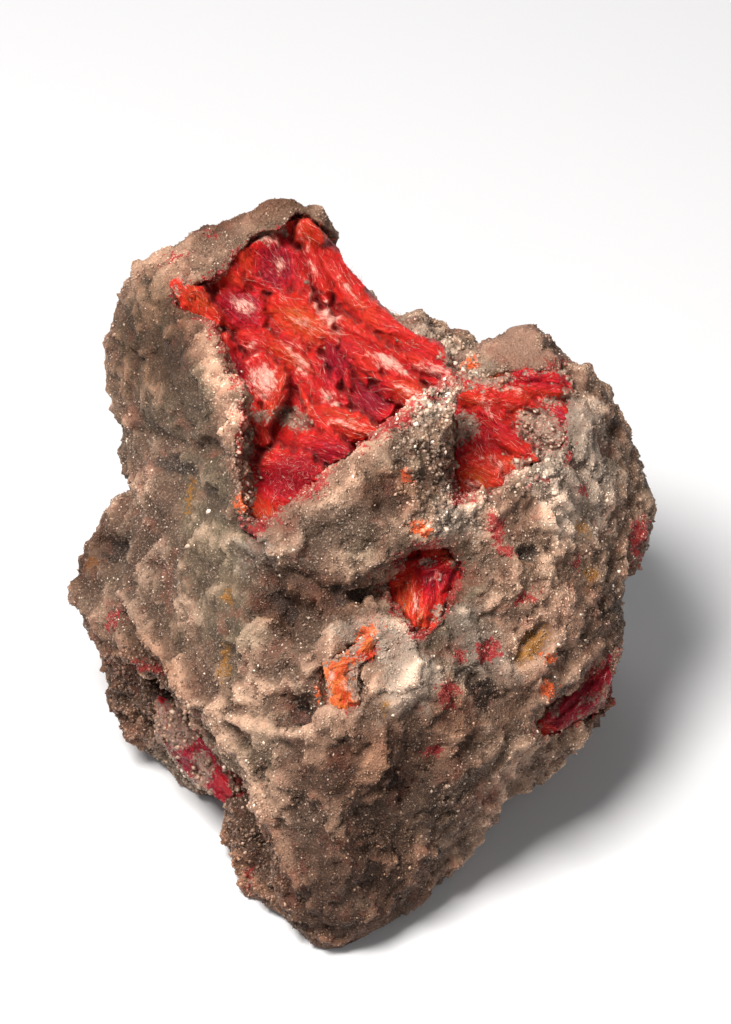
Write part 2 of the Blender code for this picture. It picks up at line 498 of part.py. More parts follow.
def push_out(target, hollow):
    """Push whatever stands into a convex hollow back to within WALL_RELIEF of its wall."""
    places, _ = skin_arrays(target)
    centres = np.array([face.center for face in hollow.data.polygons])
    normals = np.array([face.normal for face in hollow.data.polygons])
    depth = (places[:, None, :] * normals).sum(axis=2) - (centres * normals).sum(axis=1)
    wall = depth.argmax(axis=1)
    excess = -WALL_RELIEF * MM - depth[np.arange(len(places)), wall]
    places += normals[wall] * np.clip(excess, 0, None)[:, None]
    target.data.vertices.foreach_set("co", places.ravel())
    target.data.update()


def level_base(target, band):
    """Bring what lies within a band of the floor level with it."""
    places, _ = skin_arrays(target)
    places[:, 2] = np.where(places[:, 2] < band * MM, 0, places[:, 2])
    target.data.vertices.foreach_set("co", places.ravel())
    target.data.update()


def finish(name):
    colour, roughness = FINISHES[name]
    material = bpy.data.materials.new(name)
    material.use_nodes = True
    shader = material.node_tree.nodes["Principled BSDF"]
    shader.inputs["Base Color"].default_value = (*colour, 1)
    shader.inputs["Roughness"].default_value = roughness
    shader.inputs["Metallic"].default_value = 0
    material.diffuse_color = (*colour, 1)
    return material


for old in list(bpy.data.objects):
    bpy.data.objects.remove(old, do_unlink=True)

parts = bpy.data.collections.new("cuprite_on_quartz")
cutters = bpy.data.collections.new("cutters")
bpy.context.scene.collection.children.link(parts)
bpy.context.scene.collection.children.link(cutters)

# The rock: blocks and drusy knobs fused, roughened like broken quartz, then thinned to plain facets.
rng = random.Random(11)
blocks = {name: convex_solid(name, map(world_point, corners), cutters) for name, corners in BLOCKS.items()}
knobs = []
for name, (count, smallest, largest) in KNOBS.items():
    for _ in range(count):
        knobs.append(knob(blocks[name], rng.uniform(smallest, largest), rng, cutters))
solid_rock = fuse("solid_rock", list(blocks.values()) + knobs, ROCK_GRID, cutters)
hollows = {name: convex_solid(name, map(world_point, corners), cutters) for name, corners in HOLLOWS.items()}
room_below = [Vector(corner) * MM for corner in itertools.product(*UNDER_THE_FLOOR)]
below_floor = convex_solid("below_floor", room_below, cutters)
for cutter in [below_floor, *hollows.values()]:
    combine(solid_rock, cutter, "DIFFERENCE")
rock = fuse("matrix", [solid_rock], ROCK_GRID, parts)
drop_crumbs(rock)
roughen(rock, SWELLS)
press_strokes(rock, STROKES)
for _ in range(2):
    for hollow in hollows.values():
        push_out(rock, hollow)
level_base(rock, ROCK_GRID)
thin_out(rock, ROCK_TRIANGLES)
for hollow in hollows.values():
    push_out(rock, hollow)
level_base(rock, BASE_BAND)


def make_crust(name):
    """One crust: its leaves and fill joined, and kept inside its hollow by the gap."""
    fronts = [convex_solid("leaf", map(world_point, leaf_points(*leaf)), cutters) for leaf in LEAVES[name]]
    for front in FILLS[name]:
        back = [(x, v, w - FILL_DEPTH) for x, v, w in front]
        fronts.append(convex_solid("fill", map(world_point, front + back), cutters))
    shape = bmesh.new()
    shape.from_mesh(fronts[0].data)
    crust = new_object(name, keep_mesh(shape, name), parts)
    for piece in fronts[1:]:
        combine(crust, piece, "UNION")
    room = shrunk("room", hollows[HOLLOWS_OF[name][0]], WALL_RELIEF + GAP, cutters)
    for hollow in HOLLOWS_OF[name][1:]:
        combine(room, shrunk("room", hollows[hollow], WALL_RELIEF + GAP, cutters), "UNION")
    combine(crust, room, "INTERSECT")
    return crust


crusts = [make_crust(name) for name in LEAVES]

# The origin goes under the middle of the whole piece.
corners = np.concatenate([skin_arrays(piece)[0] for piece in parts.objects])
middle = (corners.min(axis=0) + corners.max(axis=0)) / 2
PLACED = Vector((-middle[0], -middle[1], 0))
for piece in parts.objects:
    for vertex in piece.data.vertices:
        vertex.co += PLACED
    piece.data.materials.clear()
    piece.data.materials.append(finish(piece.name))

for cutter in cutters.objects:
    cutter.hide_render = True
    cutter.display_type = "WIRE"
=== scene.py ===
import math

import bpy
import numpy as np
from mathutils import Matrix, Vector, noise


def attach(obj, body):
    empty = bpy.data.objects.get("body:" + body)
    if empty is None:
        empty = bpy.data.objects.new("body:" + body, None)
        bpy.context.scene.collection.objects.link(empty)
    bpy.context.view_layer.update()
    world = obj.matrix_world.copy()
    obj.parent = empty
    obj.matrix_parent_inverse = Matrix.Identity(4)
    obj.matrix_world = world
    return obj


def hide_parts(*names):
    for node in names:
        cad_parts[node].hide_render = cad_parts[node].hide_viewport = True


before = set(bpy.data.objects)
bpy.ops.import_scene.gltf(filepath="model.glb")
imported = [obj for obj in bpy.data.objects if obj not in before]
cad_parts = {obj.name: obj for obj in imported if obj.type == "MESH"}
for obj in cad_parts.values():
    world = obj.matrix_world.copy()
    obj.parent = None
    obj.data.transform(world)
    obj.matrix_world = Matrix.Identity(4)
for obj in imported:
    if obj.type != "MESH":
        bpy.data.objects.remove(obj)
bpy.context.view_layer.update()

# The rock: a broken block of sugary quartz, pinkish grey with greenish, brown and white ground. It is one
# piece that lies on its flat facet; its corners are a little rubbed, and its hollows are lined with druse.
# Places on it are read in mm in the showy face's own frame: x right, v up the face, w out of the face.
MM = 0.001
LEAN = math.radians(40)                     # how far the face leans back
EYE, EYE_LEVEL = 569.0, 43.8                # the face is read from this far away, and from this v, mm
TIP = np.array((0.566, -33.077, 0.0))       # the rock's tip, where x, v and w are 0, mm
ACROSS = np.array((1.0, 0.0, 0.0))
UP_FACE = np.array((0.0, math.sin(LEAN), math.cos(LEAN)))
OUT = np.array((0.0, -math.cos(LEAN), math.sin(LEAN)))
SADDLE_START, SADDLE_END = (-2.1, 68.8), (3.4, 62.8)         # the saddle's edge, x and v, mm
SADDLE_DRAWN_IN = 3.5                                        # mm that the rock stays behind it at most
SKIN_GRID = 0.45                                             # mm between the skin's points
SKIN_SWELLS = [(6.0, 0.45), (2.6, 0.35), (1.1, 0.22)]        # size and height of the rock's unevenness, mm
SKIN_FACETS = [(4.6, 0.75), (1.9, 0.45)]                     # the same of its broken faces
SKIN_CRACKS = (4.2, 0.45)                                    # the same of its fine cracks
SKIN_KNOBS = [(1.5, 0.1, 0.55), (0.8, 0.08, 0.22)]           # of its knobs, and how much more in druse
SOFT_GROUND, SOFT_STAIN, SOFT_DRUSE = 3.0, 1.6, 1.5          # how wide the edges of each fade, mm


def on_rock(x, v, w):
    """Places of the face's frame, mm, as points of the object, metres."""
    fan = 1 - w / EYE
    level = EYE_LEVEL + (v - EYE_LEVEL) * fan
    return (np.outer(x * fan, ACROSS) + np.outer(level, UP_FACE) + np.outer(w, OUT) + TIP) * MM


def read_off(points):
    """Points of the object, metres, as x, v and w of the face's frame, mm."""
    from_tip = points / MM - TIP
    w = from_tip @ OUT
    fan = 1 - w / EYE
    return from_tip @ ACROSS / fan, EYE_LEVEL + (from_tip @ UP_FACE - EYE_LEVEL) / fan, w


def lumps_at(samples, octaves):
    """Fractal noise of about -1 to 1 at each sample, with lumps of size 1."""
    return np.array([noise.fractal(Vector(sample), 1.0, 2.0, octaves) for sample in samples])


def cloud(points, size, octaves=3, shift=0.0):
    """Fractal noise of about -1 to 1 at each point, with lumps of a size in mm."""
    return lumps_at(points / (size * MM) + shift, octaves)


def knobbly(points, size):
    """Rounded knobs of a size in mm, packed side by side: 1 on their tops and 0 in the seams."""
    nearest = np.array([noise.voronoi(Vector(sample))[0][:2] for sample in points / (size * MM)])
    return np.clip((nearest[:, 1] - nearest[:, 0]) * 1.6, 0, 1) ** 0.6


def broken(points, size):
    """Broken faces of a size in mm, each tilted its own way, so they meet in steps; about -1 to 1."""
    heights = np.empty(len(points))
    for number, sample in enumerate(points / (size * MM)):
        sample = Vector(sample)
        middle = noise.voronoi(sample)[1][0]
        tilt = noise.cell_vector(middle * 7.3) * 2 - Vector((1, 1, 1))
        heights[number] = (sample - middle).dot(tilt)
    return heights


def along_path(x, v, path):
    """How far each place is from a path, mm."""
    nearest = np.full(len(x), np.inf)
    for (x0, v0), (x1, v1) in zip(path, path[1:]):
        dx, dv = x1 - x0, v1 - v0
        share = np.clip(((x - x0) * dx + (v - v0) * dv) / (dx * dx + dv * dv), 0, 1)
        nearest = np.minimum(nearest, np.hypot(x - x0 - share * dx, v - v0 - share * dv))
    return nearest


def depth_inside(x, v, *outlines):
    """How far inside any of some outlines each place is, mm, and negative outside them."""
    depths = []
    for outline in outlines:
        closed = outline + outline[:1]
        crossings = np.zeros(len(x), int)
        for (x0, v0), (x1, v1) in zip(closed, closed[1:]):
            if v0 != v1:
                crossings += ((v0 > v) != (v1 > v)) & (x < x0 + (v - v0) * (x1 - x0) / (v1 - v0))
        nearest = along_path(x, v, closed)
        depths.append(np.where(crossings % 2 == 1, nearest, -nearest))
    return np.max(depths, axis=0)


def in_ovals(x, v, ovals, in_mm=True):
    """How far inside any of some turned ovals each place is, mm or as a share, and negative outside them."""
    depths = []
    for middle_x, middle_v, half_x, half_v, turn in ovals:
        cosine, sine = math.cos(math.radians(turn)), math.sin(math.radians(turn))
        dx, dv = x - middle_x, v - middle_v
        inside = 1 - np.hypot((dx * cosine + dv * sine) / half_x, (dv * cosine - dx * sine) / half_v)
        depths.append(inside * min(half_x, half_v) if in_mm else inside)
    return np.max(depths, axis=0)


def placed(name, data):
    """A new object of the scene."""
    made = bpy.data.objects.new(name, data)
    bpy.context.scene.collection.objects.link(made)
    return made


def only(piece):
    """Make one piece the selected and active one."""
    bpy.ops.object.select_all(action="DESELECT")
    piece.select_set(True)
    bpy.context.view_layer.objects.active = piece


def points_of(piece, what="co"):
    """Places or normals of a piece's points, one row each."""
    values = np.empty(len(piece.data.vertices) * 3)
    piece.data.vertices.foreach_get(what, values)
    return values.reshape(-1, 3)


def move_points(piece, points):
    """Put a piece's points at new places."""
    piece.data.vertices.foreach_set("co", points.astype(np.float32).ravel())
    piece.data.update()


def paint(piece, name, values):
    """Keep a value per point of a piece, for its material."""
    layer = piece.data.attributes.new(name, "FLOAT", "POINT")
    layer.data.foreach_set("value", np.asarray(values, np.float32))


# Ground of the rock, by its outlines on the face: x and v, mm.
GROUND = {
    "green": [
        [(-22.4, 67.4), (-20.6, 66.8), (-19.2, 62.6), (-17.2, 59), (-15.6, 55.4), (-14.8, 52.6),
         (-18.4, 51.2), (-23.2, 52.8), (-24.6, 57.4), (-25.2, 62)],
        [(-18.6, 50), (-14.2, 49.6), (-12.8, 46), (-11.8, 41.6), (-12.2, 36), (-9.8, 31), (-12.6, 29),
         (-16.4, 31), (-18, 37), (-18.6, 44)],
        [(8.4, 39.4), (11.2, 38.4), (11.6, 34.6), (9.6, 30.6), (6.6, 27.4), (5.2, 28.6), (7.8, 33)],
        [(3.6, 49.2), (6.4, 50.2), (6.8, 45.4), (4.2, 45.8)],
    ],
    "brown": [
        [(-8.4, 39.4), (-6.6, 43), (-2, 44.6), (1.6, 45.4), (2, 42.4), (-3.4, 40), (-6.2, 37)],
        [(-22.8, 45.6), (-19.8, 45), (-18.2, 38.4), (-19, 33.4), (-22.6, 31), (-25, 35), (-24.6, 41)],
        [(-9.6, 16.4), (-2.2, 18.6), (6.4, 17.4), (13, 19), (8.6, 9.6), (3, 3.6), (-3.4, 0.2), (-7.2, 2.4),
         (-8.6, 9.8)],
        [(10.2, 27.4), (13.4, 27), (13.2, 24), (10.4, 24.2)],
        [(-24.4, 30.4), (-20.4, 27), (-17, 20.4), (-12.6, 14.6), (-9.4, 6.8), (-11.6, 8.4), (-15.6, 16.4),
         (-21.4, 23.6), (-25, 27)],
        [(-7.6, 27), (-4.8, 26.6), (-4.6, 23), (-7.4, 23)],
        [(2.4, 53.4), (6, 50.4), (4.6, 47.4), (1.4, 48.6)],
        [(24, 36), (27, 35.4), (26.6, 31.4), (22.8, 31.4)],
    ],
    "pink": [
        [(-21.8, 69), (-18.6, 71.2), (-15.2, 74), (-10.4, 76), (-4, 75.8), (-1.6, 72), (-4.4, 73.2),
         (-9.6, 73), (-12.6, 70.4), (-16.2, 68.4), (-19.4, 67.8)],
        [(-19.6, 64.2), (-15.4, 60.8), (-13, 56.2), (-12.6, 49), (-11.4, 42.6), (-12.6, 43.4),
         (-14.4, 49.6), (-16, 56), (-18.8, 61.4)],
        [(-11.4, 41.4), (-6.6, 46.2), (-3.2, 49.6), (1.2, 51.6), (6.4, 56.6), (9, 57), (6.6, 53.2),
         (1.4, 48.8), (-4.2, 45.4), (-8.4, 41)],
        [(8, 42), (14, 45.2), (19.4, 47), (24, 50), (21.8, 44.6), (15.6, 42.6), (10.4, 40.4)],
        [(-1, 33.6), (5, 29.6), (8, 23.4), (4.4, 19.4), (-2.8, 22), (-6.2, 29.6)],
        [(12.2, 34), (18, 37), (24, 36), (23.4, 28.6), (17.2, 25.6), (12.6, 28)],
    ],
    "white": [
        [(-2.2, 5.6), (0.8, 5.6), (0.6, 3.8), (-2, 4)],
        [(-2.2, 28.2), (-0.8, 28), (-0.8, 24), (-2, 24.4)],
        [(7.2, 44.6), (11.4, 44.8), (11.2, 41.6), (7.6, 41)],
        [(13.6, 49.6), (19.2, 49.8), (19.6, 47.8), (14, 47.2)],
        [(-3.4, 32.2), (1, 33.8), (5.4, 31.6), (8.4, 27.4), (6.4, 23.6), (1.4, 23), (1.8, 28.6),
         (-1.8, 30.6)],
        [(8, 35), (11.6, 34.4), (15.6, 27), (12.6, 21.4), (9.4, 25)],
        [(18, 56), (23, 55), (25.6, 48), (24, 41.4), (19, 41), (16.4, 47)],
        [(1.4, 64.4), (6.4, 62), (9.4, 59.6), (12.4, 58.8), (11, 57), (7, 59.6), (2, 62.6)],
        [(3.4, 56.6), (8.6, 58), (9, 54), (6, 52.4)],
        [(-28.4, 40.4), (-26.8, 40.6), (-26.8, 38.2), (-28.6, 38.4)],
        [(-13.2, 40.8), (-10, 41.4), (-9.6, 38.4), (-12.8, 38)],
    ],
    "blush": [
        [(11.4, 60.4), (12.7, 61.8), (15.4, 62.6), (17.3, 62.6), (18.2, 60.4), (19.6, 59), (17.2, 57.8),
         (13.6, 58.4)],
    ],
}

# Stains of the rock: crimson, orange and ochre, and dark specks with painted shade in pits, cracks, a valley
# and under the ledge, by middle (x, v), half sizes and turn in degrees.
STAINS = {
    "crimson": [
        (8.2, 25.6, 0.9, 1.2, 0), (12.6, 30, 1.2, 1.1, 0), (7.2, 20, 0.8, 0.6, 0),
        (24.6, 27, 1.6, 3.4, -35), (20, 23.4, 3.2, 1.2, 25), (13.1, 42.3, 0.9, 1.2, 0),
        (14.2, 40.3, 1.1, 0.6, -40), (17.3, 47.1, 0.9, 0.4, 10), (20.7, 49.4, 0.4, 0.8, 0),
        (19, 58.6, 0.9, 0.3, 15), (-25.6, 33, 0.5, 0.9, 0), (-22.1, 28.3, 0.9, 0.5, -20),
        (-17.6, 20.6, 3.6, 1.0, -55), (-11.6, 7.2, 0.4, 0.8, 0), (21.9, 46, 0.4, 0.4, 0),
        (21.1, 38.9, 0.5, 0.4, 0), (4, 53.6, 0.5, 0.8, 0), (-12.2, 53.4, 0.5, 1.0, 0),
        (-11.8, 50.4, 1.0, 0.5, 0), (27.4, 41, 0.8, 2.2, 0), (-15.6, 72, 0.5, 0.3, 0),
        (-19, 69.2, 0.8, 0.3, 20), (16, 35.2, 1.0, 0.5, 30), (9.6, 29.6, 0.6, 0.5, 0),
    ],
    "orange": [
        (13.1, 57, 0.6, 0.4, 0), (18.6, 29.1, 0.7, 0.5, 0), (18.4, 26.2, 0.6, 0.9, 0),
        (5.9, 42.1, 1.3, 0.6, -30), (4.2, 47.4, 0.6, 0.7, 0), (-12.6, 44.8, 0.5, 0.9, 0),
        (-11.4, 47, 0.5, 0.5, 0), (0.2, 31.6, 1.2, 0.5, 45), (-4.6, 26.4, 0.3, 1.1, 0),
        (10.6, 58.6, 0.9, 0.4, 20),
    ],
    "ochre": [
        (16.6, 30.4, 0.9, 2.0, -35), (-17.7, 45.6, 0.4, 1.3, 0), (-14.4, 29, 0.5, 1.9, 0),
        (-13.8, 35.6, 0.4, 0.5, 0), (-27.8, 38.8, 0.7, 0.7, 0), (22.6, 37.4, 0.6, 0.9, 0),
        (21.8, 42.2, 0.5, 0.8, 20), (2, 24.4, 0.3, 0.6, 0),
    ],
    "dark": [
        (11.8, 25.6, 1.2, 1.2, 0), (-6.4, 23.8, 1.1, 1.1, 0), (16.5, 39.6, 0.8, 0.7, 0),
        (3.4, 16.3, 0.5, 1.2, 25), (-25.6, 40.1, 0.8, 0.8, 0), (-20.4, 48.6, 2.4, 0.5, -12),
        (-8.6, 35, 2.2, 0.9, -50), (8.6, 46.3, 0.5, 0.8, 0), (-22, 66.8, 0.3, 0.3, 0),
        (-0.6, 35.4, 3.6, 0.6, 28),
    ],
}

# Broad painted shade and painted light on the ground, darker where the light falls off and lighter where it
# falls brighter, as stains are given.
TONES = {
    "painted_shade_tone": [
        (-10.8, 9, 5.5, 10, 35), (-23.5, 26, 7, 8, -40), (0, 4, 12, 14, 0), (-21, 61, 6, 9, -20),
        (1, 18, 12, 6, 15), (-11, 75.4, 13, 3, 18), (3, 46, 4.5, 3, 10), (-4.5, 35.5, 6.5, 3, -10),
        (24.5, 26, 4, 6, -30), (-8.6, 34.6, 3, 3.6, 30), (11, 24, 8, 4, 20), (-28, 41, 3, 6, 0)],
    "painted_light_tone": [
        (20.5, 45, 8, 9, 0), (-14, 55, 3, 8, 20), (5.6, 53.6, 4.5, 5, 0), (17, 36, 7, 7, 0),
        (-3, 48, 5, 3.5, 40), (3, 28, 6, 5, 0), (9, 44, 4, 4, 0)],
}

# Lines and pits of the skin: path (x, v), half width and height, mm (- is pressed in).
CREASES = [
    ([(-23.1, 52), (-20.6, 51.4), (-18.1, 50.4), (-16, 50.4), (-14.4, 49.4)], 0.45, -0.9),
    ([(-24.6, 33.4), (-21.6, 28.4), (-19.4, 25), (-16.1, 20), (-12.6, 15), (-10.2, 9)], 0.6, -1.7),
    ([(-24.2, 35.4), (-20.1, 29), (-17.6, 25), (-12.2, 19.4), (-8.4, 10.4), (-6.4, 6.6)], 0.6, 0.9),
    ([(-11.4, 39.4), (-9.4, 35.5), (-6.2, 32)], 1.4, -1.4),
    ([(-7.6, 37.6), (-4.2, 35.6), (-1, 35.8), (2, 38.2)], 0.6, -1.2),
    ([(3, 17.6), (4, 15.2)], 0.4, -0.8),
    ([(-7.4, 24.6), (-5.4, 23)], 0.8, -0.9),
    ([(10.8, 26.8), (12.8, 24.8)], 0.8, -0.9),
    ([(14.9, 28.4), (15.6, 30.6), (17.6, 32.6), (18.4, 32), (17, 29.4), (14.9, 28.4)], 0.45, -0.6),
    ([(16.2, 39.8), (16.9, 39.4)], 0.6, -0.9),
    ([(-26.4, 40.4), (-25, 40)], 0.7, -1.0),
    ([(17.4, 45.4), (18.4, 42.2)], 0.5, 0.9),
    ([(18.9, 46), (20.4, 44.2)], 0.45, 0.8),
    ([(19.4, 43.6), (20.6, 41.8)], 0.4, 0.6),
    ([(-15, 23.5), (-11.6, 22.5), (-7.6, 21.6), (-5.6, 22), (-2.2, 24.6)], 0.7, 0.7),
    ([(-12.8, 41), (-9.8, 39.6)], 0.8, 0.6),
    ([(-9, 18.6), (-7.6, 12), (-7, 6)], 0.7, 0.5),
    ([(8.6, 34), (10.4, 30.4), (8.8, 26.6)], 0.7, -0.5),
    ([(17.4, 24.4), (20.4, 27.2), (23.4, 30.4)], 0.7, 0.5),
    ([(-19.6, 60.6), (-17.6, 55.8), (-16.4, 52)], 0.6, -0.4),
    ([(-21.6, 58.4), (-20.4, 54.4)], 0.8, 0.4),
    ([(-4.6, 41.6), (-0.4, 43.6), (3.4, 44.4)], 0.8, -0.4),
    ([(22.4, 53.6), (24.8, 49), (26, 44.6)], 0.6, -0.4),
]

# Outlines of the rock's hollows, as the cuprite fills them: x and v, mm.
HOLLOWS = {
    "cuprite_main_hollow": [
        (-6.8, 73.3), (-5.6, 73.2), (-3.8, 71.4), (-2.6, 70.1), (-2.1, 68.8), (-0.9, 67.4), (0.6, 65.8),
        (2.0, 64.2), (3.4, 62.8), (4.9, 61.8), (6.4, 61.2), (7.6, 60.8), (8.5, 59.6), (9.4, 58.3),
        (9.4, 55.8), (7.0, 55.2), (4.2, 52.0), (1.8, 50.6), (-0.4, 49.2), (-1.8, 49.4), (-2.4, 48.4),
        (-3.2, 46.0), (-6.0, 44.2), (-7.6, 43.8), (-8.2, 43.0), (-9.8, 41.2), (-12.0, 40.6), (-12.4, 43.5),
        (-11.8, 45.2), (-11.6, 47.0), (-12.4, 49.0), (-13.6, 51.3), (-12.2, 53.5), (-12.2, 55.0),
        (-13.8, 55.8), (-13.8, 57.5), (-15.2, 59.6), (-16.2, 61.7), (-17.2, 62.8), (-19.6, 64.5),
        (-19.8, 67.4), (-16.6, 67.5), (-14.6, 68.6), (-13.4, 70.2), (-11.2, 71.6), (-9.0, 72.4)],
    "cuprite_right_hollow": [
        (8.2, 57.0), (9.6, 58.0), (12.4, 57.2), (14.2, 57.6), (16.2, 58.4), (19.4, 58.4), (20.9, 57.0),
        (20.4, 54.0), (20.2, 51.0), (18.6, 49.2), (16.6, 48.6), (15.2, 47.0), (13.2, 45.4), (10.6, 44.4),
        (8.4, 43.8), (7.9, 46.8), (8.9, 49.4), (9.2, 52.6), (8.0, 54.6)],
    "cuprite_lower_pocket": [
        (0.2, 36.9), (3.0, 39.4), (5.2, 41.0), (7.6, 41.8), (9.8, 39.6), (10.4, 38.0), (9.8, 35.6),
        (8.0, 33.0), (6.4, 30.8), (4.4, 30.4), (2.8, 33.2)],
    "cuprite_orange_patch": [
        (-4.6, 29.0), (-2, 29.9), (0.2, 31.9), (1.6, 31.6), (1.4, 29.6), (-0.6, 28.4), (-0.7, 26.6),
        (-0.4, 24.6), (-2.2, 23.1), (-3.8, 23.9), (-3.9, 26.4)],
    "cuprite_crimson_seam": [
        (25.0, 30.6), (25.7, 30.0), (25.0, 28.2), (24.4, 26.2), (24.0, 24.4), (22.0, 23.2), (20, 22),
        (18, 20.8), (16.4, 21.2), (16.6, 23.4), (19.2, 25.4), (22, 27.4), (24.0, 30.0)],
    "cuprite_left_crevice": [
        (-20.9, 25.6), (-17.6, 24.4), (-14.6, 19.8), (-12.6, 16), (-13.8, 14.4), (-17.8, 17.2), (-21, 21.6)],
}

# Where small crystals line the rock, by outlines.
DRUSY = [
    [(3.4, 54.8), (6.4, 57.2), (9.4, 56.4), (9.2, 48), (12.4, 45.4), (19.6, 47), (20, 49.6), (14, 48.8),
     (11.6, 43.4), (8, 41), (4.2, 42.2), (2.4, 48)],
    [(-26.4, 30), (-21.4, 31), (-16.4, 24), (-12.4, 16.4), (-14.6, 14.4), (-20, 17), (-25.4, 23)],
    [(-14.6, 16), (-9.4, 16), (-8.2, 8), (-8.6, 3.4), (-13, 5), (-15.4, 10)],
    [(-13.4, 56), (-11.4, 56), (-10.6, 44), (-12.4, 42), (-14, 49)],
    [(1.2, 65), (7.4, 62.2), (12, 59.6), (12, 57.6), (8.6, 58), (3.4, 61.6), (0.8, 63.4)],
    [(12, 59), (20, 58.6), (20.4, 56.4), (14, 56.6), (10.4, 57.2)],
]


def ground_shares(points, normals):
    """How much of each ground and stain a place of the rock has: 0.5 at its edge, 1 well inside it."""
    x, v, w = read_off(points)
    x, v = x + 0.55 * cloud(points, 1.5, 3, 11.0), v + 0.55 * cloud(points, 1.5, 3, 23.0)
    faces_out = np.clip(normals @ OUT * 4 + 0.6, 0, 1)
    shares = {name: 0.5 + depth_inside(x, v, *outlines) / SOFT_GROUND for name, outlines in GROUND.items()}
    shares |= {name: 0.5 + in_ovals(x, v, ovals) / SOFT_STAIN for name, ovals in STAINS.items()}
    shares |= {name: in_ovals(x, v, ovals, False) * 1.5 + 0.15 for name, ovals in TONES.items()}
    shares["druse"] = 0.5 + depth_inside(x, v, *DRUSY) / SOFT_DRUSE
    for name in shares:
        shares[name] = np.clip(shares[name], 0, 1) * faces_out
    reddened = np.clip(0.26 + depth_inside(x, v, *HOLLOWS.values()) / SOFT_GROUND, 0, 0.75)
    shares["crimson"] = np.maximum(shares["crimson"], reddened * np.clip((w + 20) / 2, 0, 1))
    return shares


skin = placed("quartz_rock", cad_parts["matrix"].data.copy())
only(skin)
bpy.ops.object.mode_set(mode="EDIT")
bpy.ops.mesh.select_all(action="SELECT")
bpy.ops.mesh.remove_doubles(threshold=1e-6)
bpy.ops.object.mode_set(mode="OBJECT")
even = skin.modifiers.new("even", "REMESH")
even.mode = "VOXEL"
even.voxel_size = SKIN_GRID * MM
even.use_smooth_shade = True
bpy.ops.object.modifier_apply(modifier=even.name)
rubbed = skin.modifiers.new("rubbed", "SMOOTH")
rubbed.factor = 0.5
rubbed.iterations = 3
bpy.ops.object.modifier_apply(modifier=rubbed.name)

points, normals = points_of(skin), points_of(skin, "normal")
shares = ground_shares(points, normals)
x, v, w = read_off(points)
relief = np.zeros(len(points))
for size, height in SKIN_SWELLS:
    relief += height * cloud(points, size, 3, shift=size)
bent = points + np.outer(cloud(points, 2.0, 2, shift=31.0), (0.7, 0.5, 0.6)) * MM
relief += sum(height * broken(bent, size) for size, height in SKIN_FACETS)
relief -= SKIN_CRACKS[1] * np.clip(np.abs(cloud(points, SKIN_CRACKS[0], 2, shift=7.0)) * -5 + 0.6, 0, 1)
for size, height, in_druse in SKIN_KNOBS:
    relief += (knobbly(points, size) - 0.5) * (height + in_druse * shares["druse"])

# The pale cleaved block and the rim at the top are smoother, and the facet it rests on stays flat.
relief *= (1 - 0.85 * shares["blush"]) * (1 - 0.5 * np.clip((v - 69) / 3, 0, 1))
faces_out = np.clip(normals @ OUT * 2, 0, 1)
for path, half_width, height in CREASES:
    relief += height * np.exp(-((along_path(x, v, path) / half_width) ** 2)) * faces_out
off_base = np.clip(points[:, 2] / (2.0 * MM), 0, 1)
relief *= off_base
points += normals * (relief - 0.1 * off_base)[:, None] * MM

# Where the cuprite makes the saddle's edge, the rock stays behind it.
saddle_length = math.dist(SADDLE_START, SADDLE_END)
from_start = np.stack([x - SADDLE_START[0], v - SADDLE_START[1]])
saddle_way = (np.array(SADDLE_END) - SADDLE_START) / saddle_length
along = saddle_way @ from_start
beyond = np.array((-saddle_way[1], saddle_way[0])) @ from_start
fade = np.clip(along / 1.2 + 0.3, 0, 1) * np.clip((saddle_length - along) / 1.2 + 0.6, 0, 1)
drawn_in = np.clip(beyond + 0.5, 0, SADDLE_DRAWN_IN) * fade * (v > 50)
points += np.outer(drawn_in, ACROSS * saddle_way[1] - UP_FACE * saddle_way[0]) * MM
points[:, 2] = np.maximum(points[:, 2], 0)
move_points(skin, points)
# How low each place lies: painted shade in hollows, and a painted highlight on crests.
shares["painted_hollow_shade"] = np.clip(0.5 - relief * 0.9, 0, 1)
for name, values in shares.items():
    paint(skin, name, values)
paint(skin, "grain", np.full(len(points), 0.5))


def add(tree, kind, values=(), **settings):
    """A shader node with its settings, and the values or links of its inputs by name or number."""
    made = tree.nodes.new(kind)
    for name, setting in settings.items():
        setattr(made, name, setting)
    for socket, value in dict(values).items():
        if isinstance(value, bpy.types.NodeSocket):
            tree.links.new(value, made.inputs[socket])
        else:
            made.inputs[socket].default_value = value
    return made


def maths(tree, operation, first, second=0.0, third=0.0, clamp=False):
    """The output of a node that reckons with values or links."""
    return add(tree, "ShaderNodeMath", {0: first, 1: second, 2: third}, operation=operation,
               use_clamp=clamp).outputs[0]


def blend_in(tree, share, under, over):
    """One colour laid over another by a share."""
    return add(tree, "ShaderNodeMix", {0: share, 6: under, 7: over}, data_type="RGBA").outputs[2]


def speckle(tree, where, size, detail=3.0, roughness=0.55):
    """Noise of 0 to 1 with lumps of a size in mm."""
    return add(tree, "ShaderNodeTexNoise", {"Vector": where, "Scale": 1 / (size * MM), "Detail": detail,
                                            "Roughness": roughness}).outputs[0]


def stretched(tree, value, middle, steepness, level=0.0):
    """A noise stretched about its middle and kept within 0 and 1."""
    return maths(tree, "MULTIPLY_ADD", maths(tree, "SUBTRACT", value, middle), steepness, level, clamp=True)


def ragged(tree, mask, wobble, sharpness=4.0):
    """A soft mask with its edge made ragged by a noise."""
    wobbly = maths(tree, "MULTIPLY_ADD", wobble, 1.8, maths(tree, "SUBTRACT", mask, 0.9))
    return stretched(tree, wobbly, 0.5, sharpness, 0.5)


def colour(red, green, blue):
    """A colour that hides all under it."""
    return (red, green, blue, 1.0)


def coated(tree, base, mask, share, tint):
    """A base colour with a tint laid over it by a share of a mask."""
    return blend_in(tree, maths(tree, "MULTIPLY", mask, share), base, colour(*tint))


def kept_values(tree, layers):
    """The values that a piece keeps per point, by name."""
    return {layer: add(tree, "ShaderNodeAttribute", attribute_name=layer).outputs["Fac"] for layer in layers}


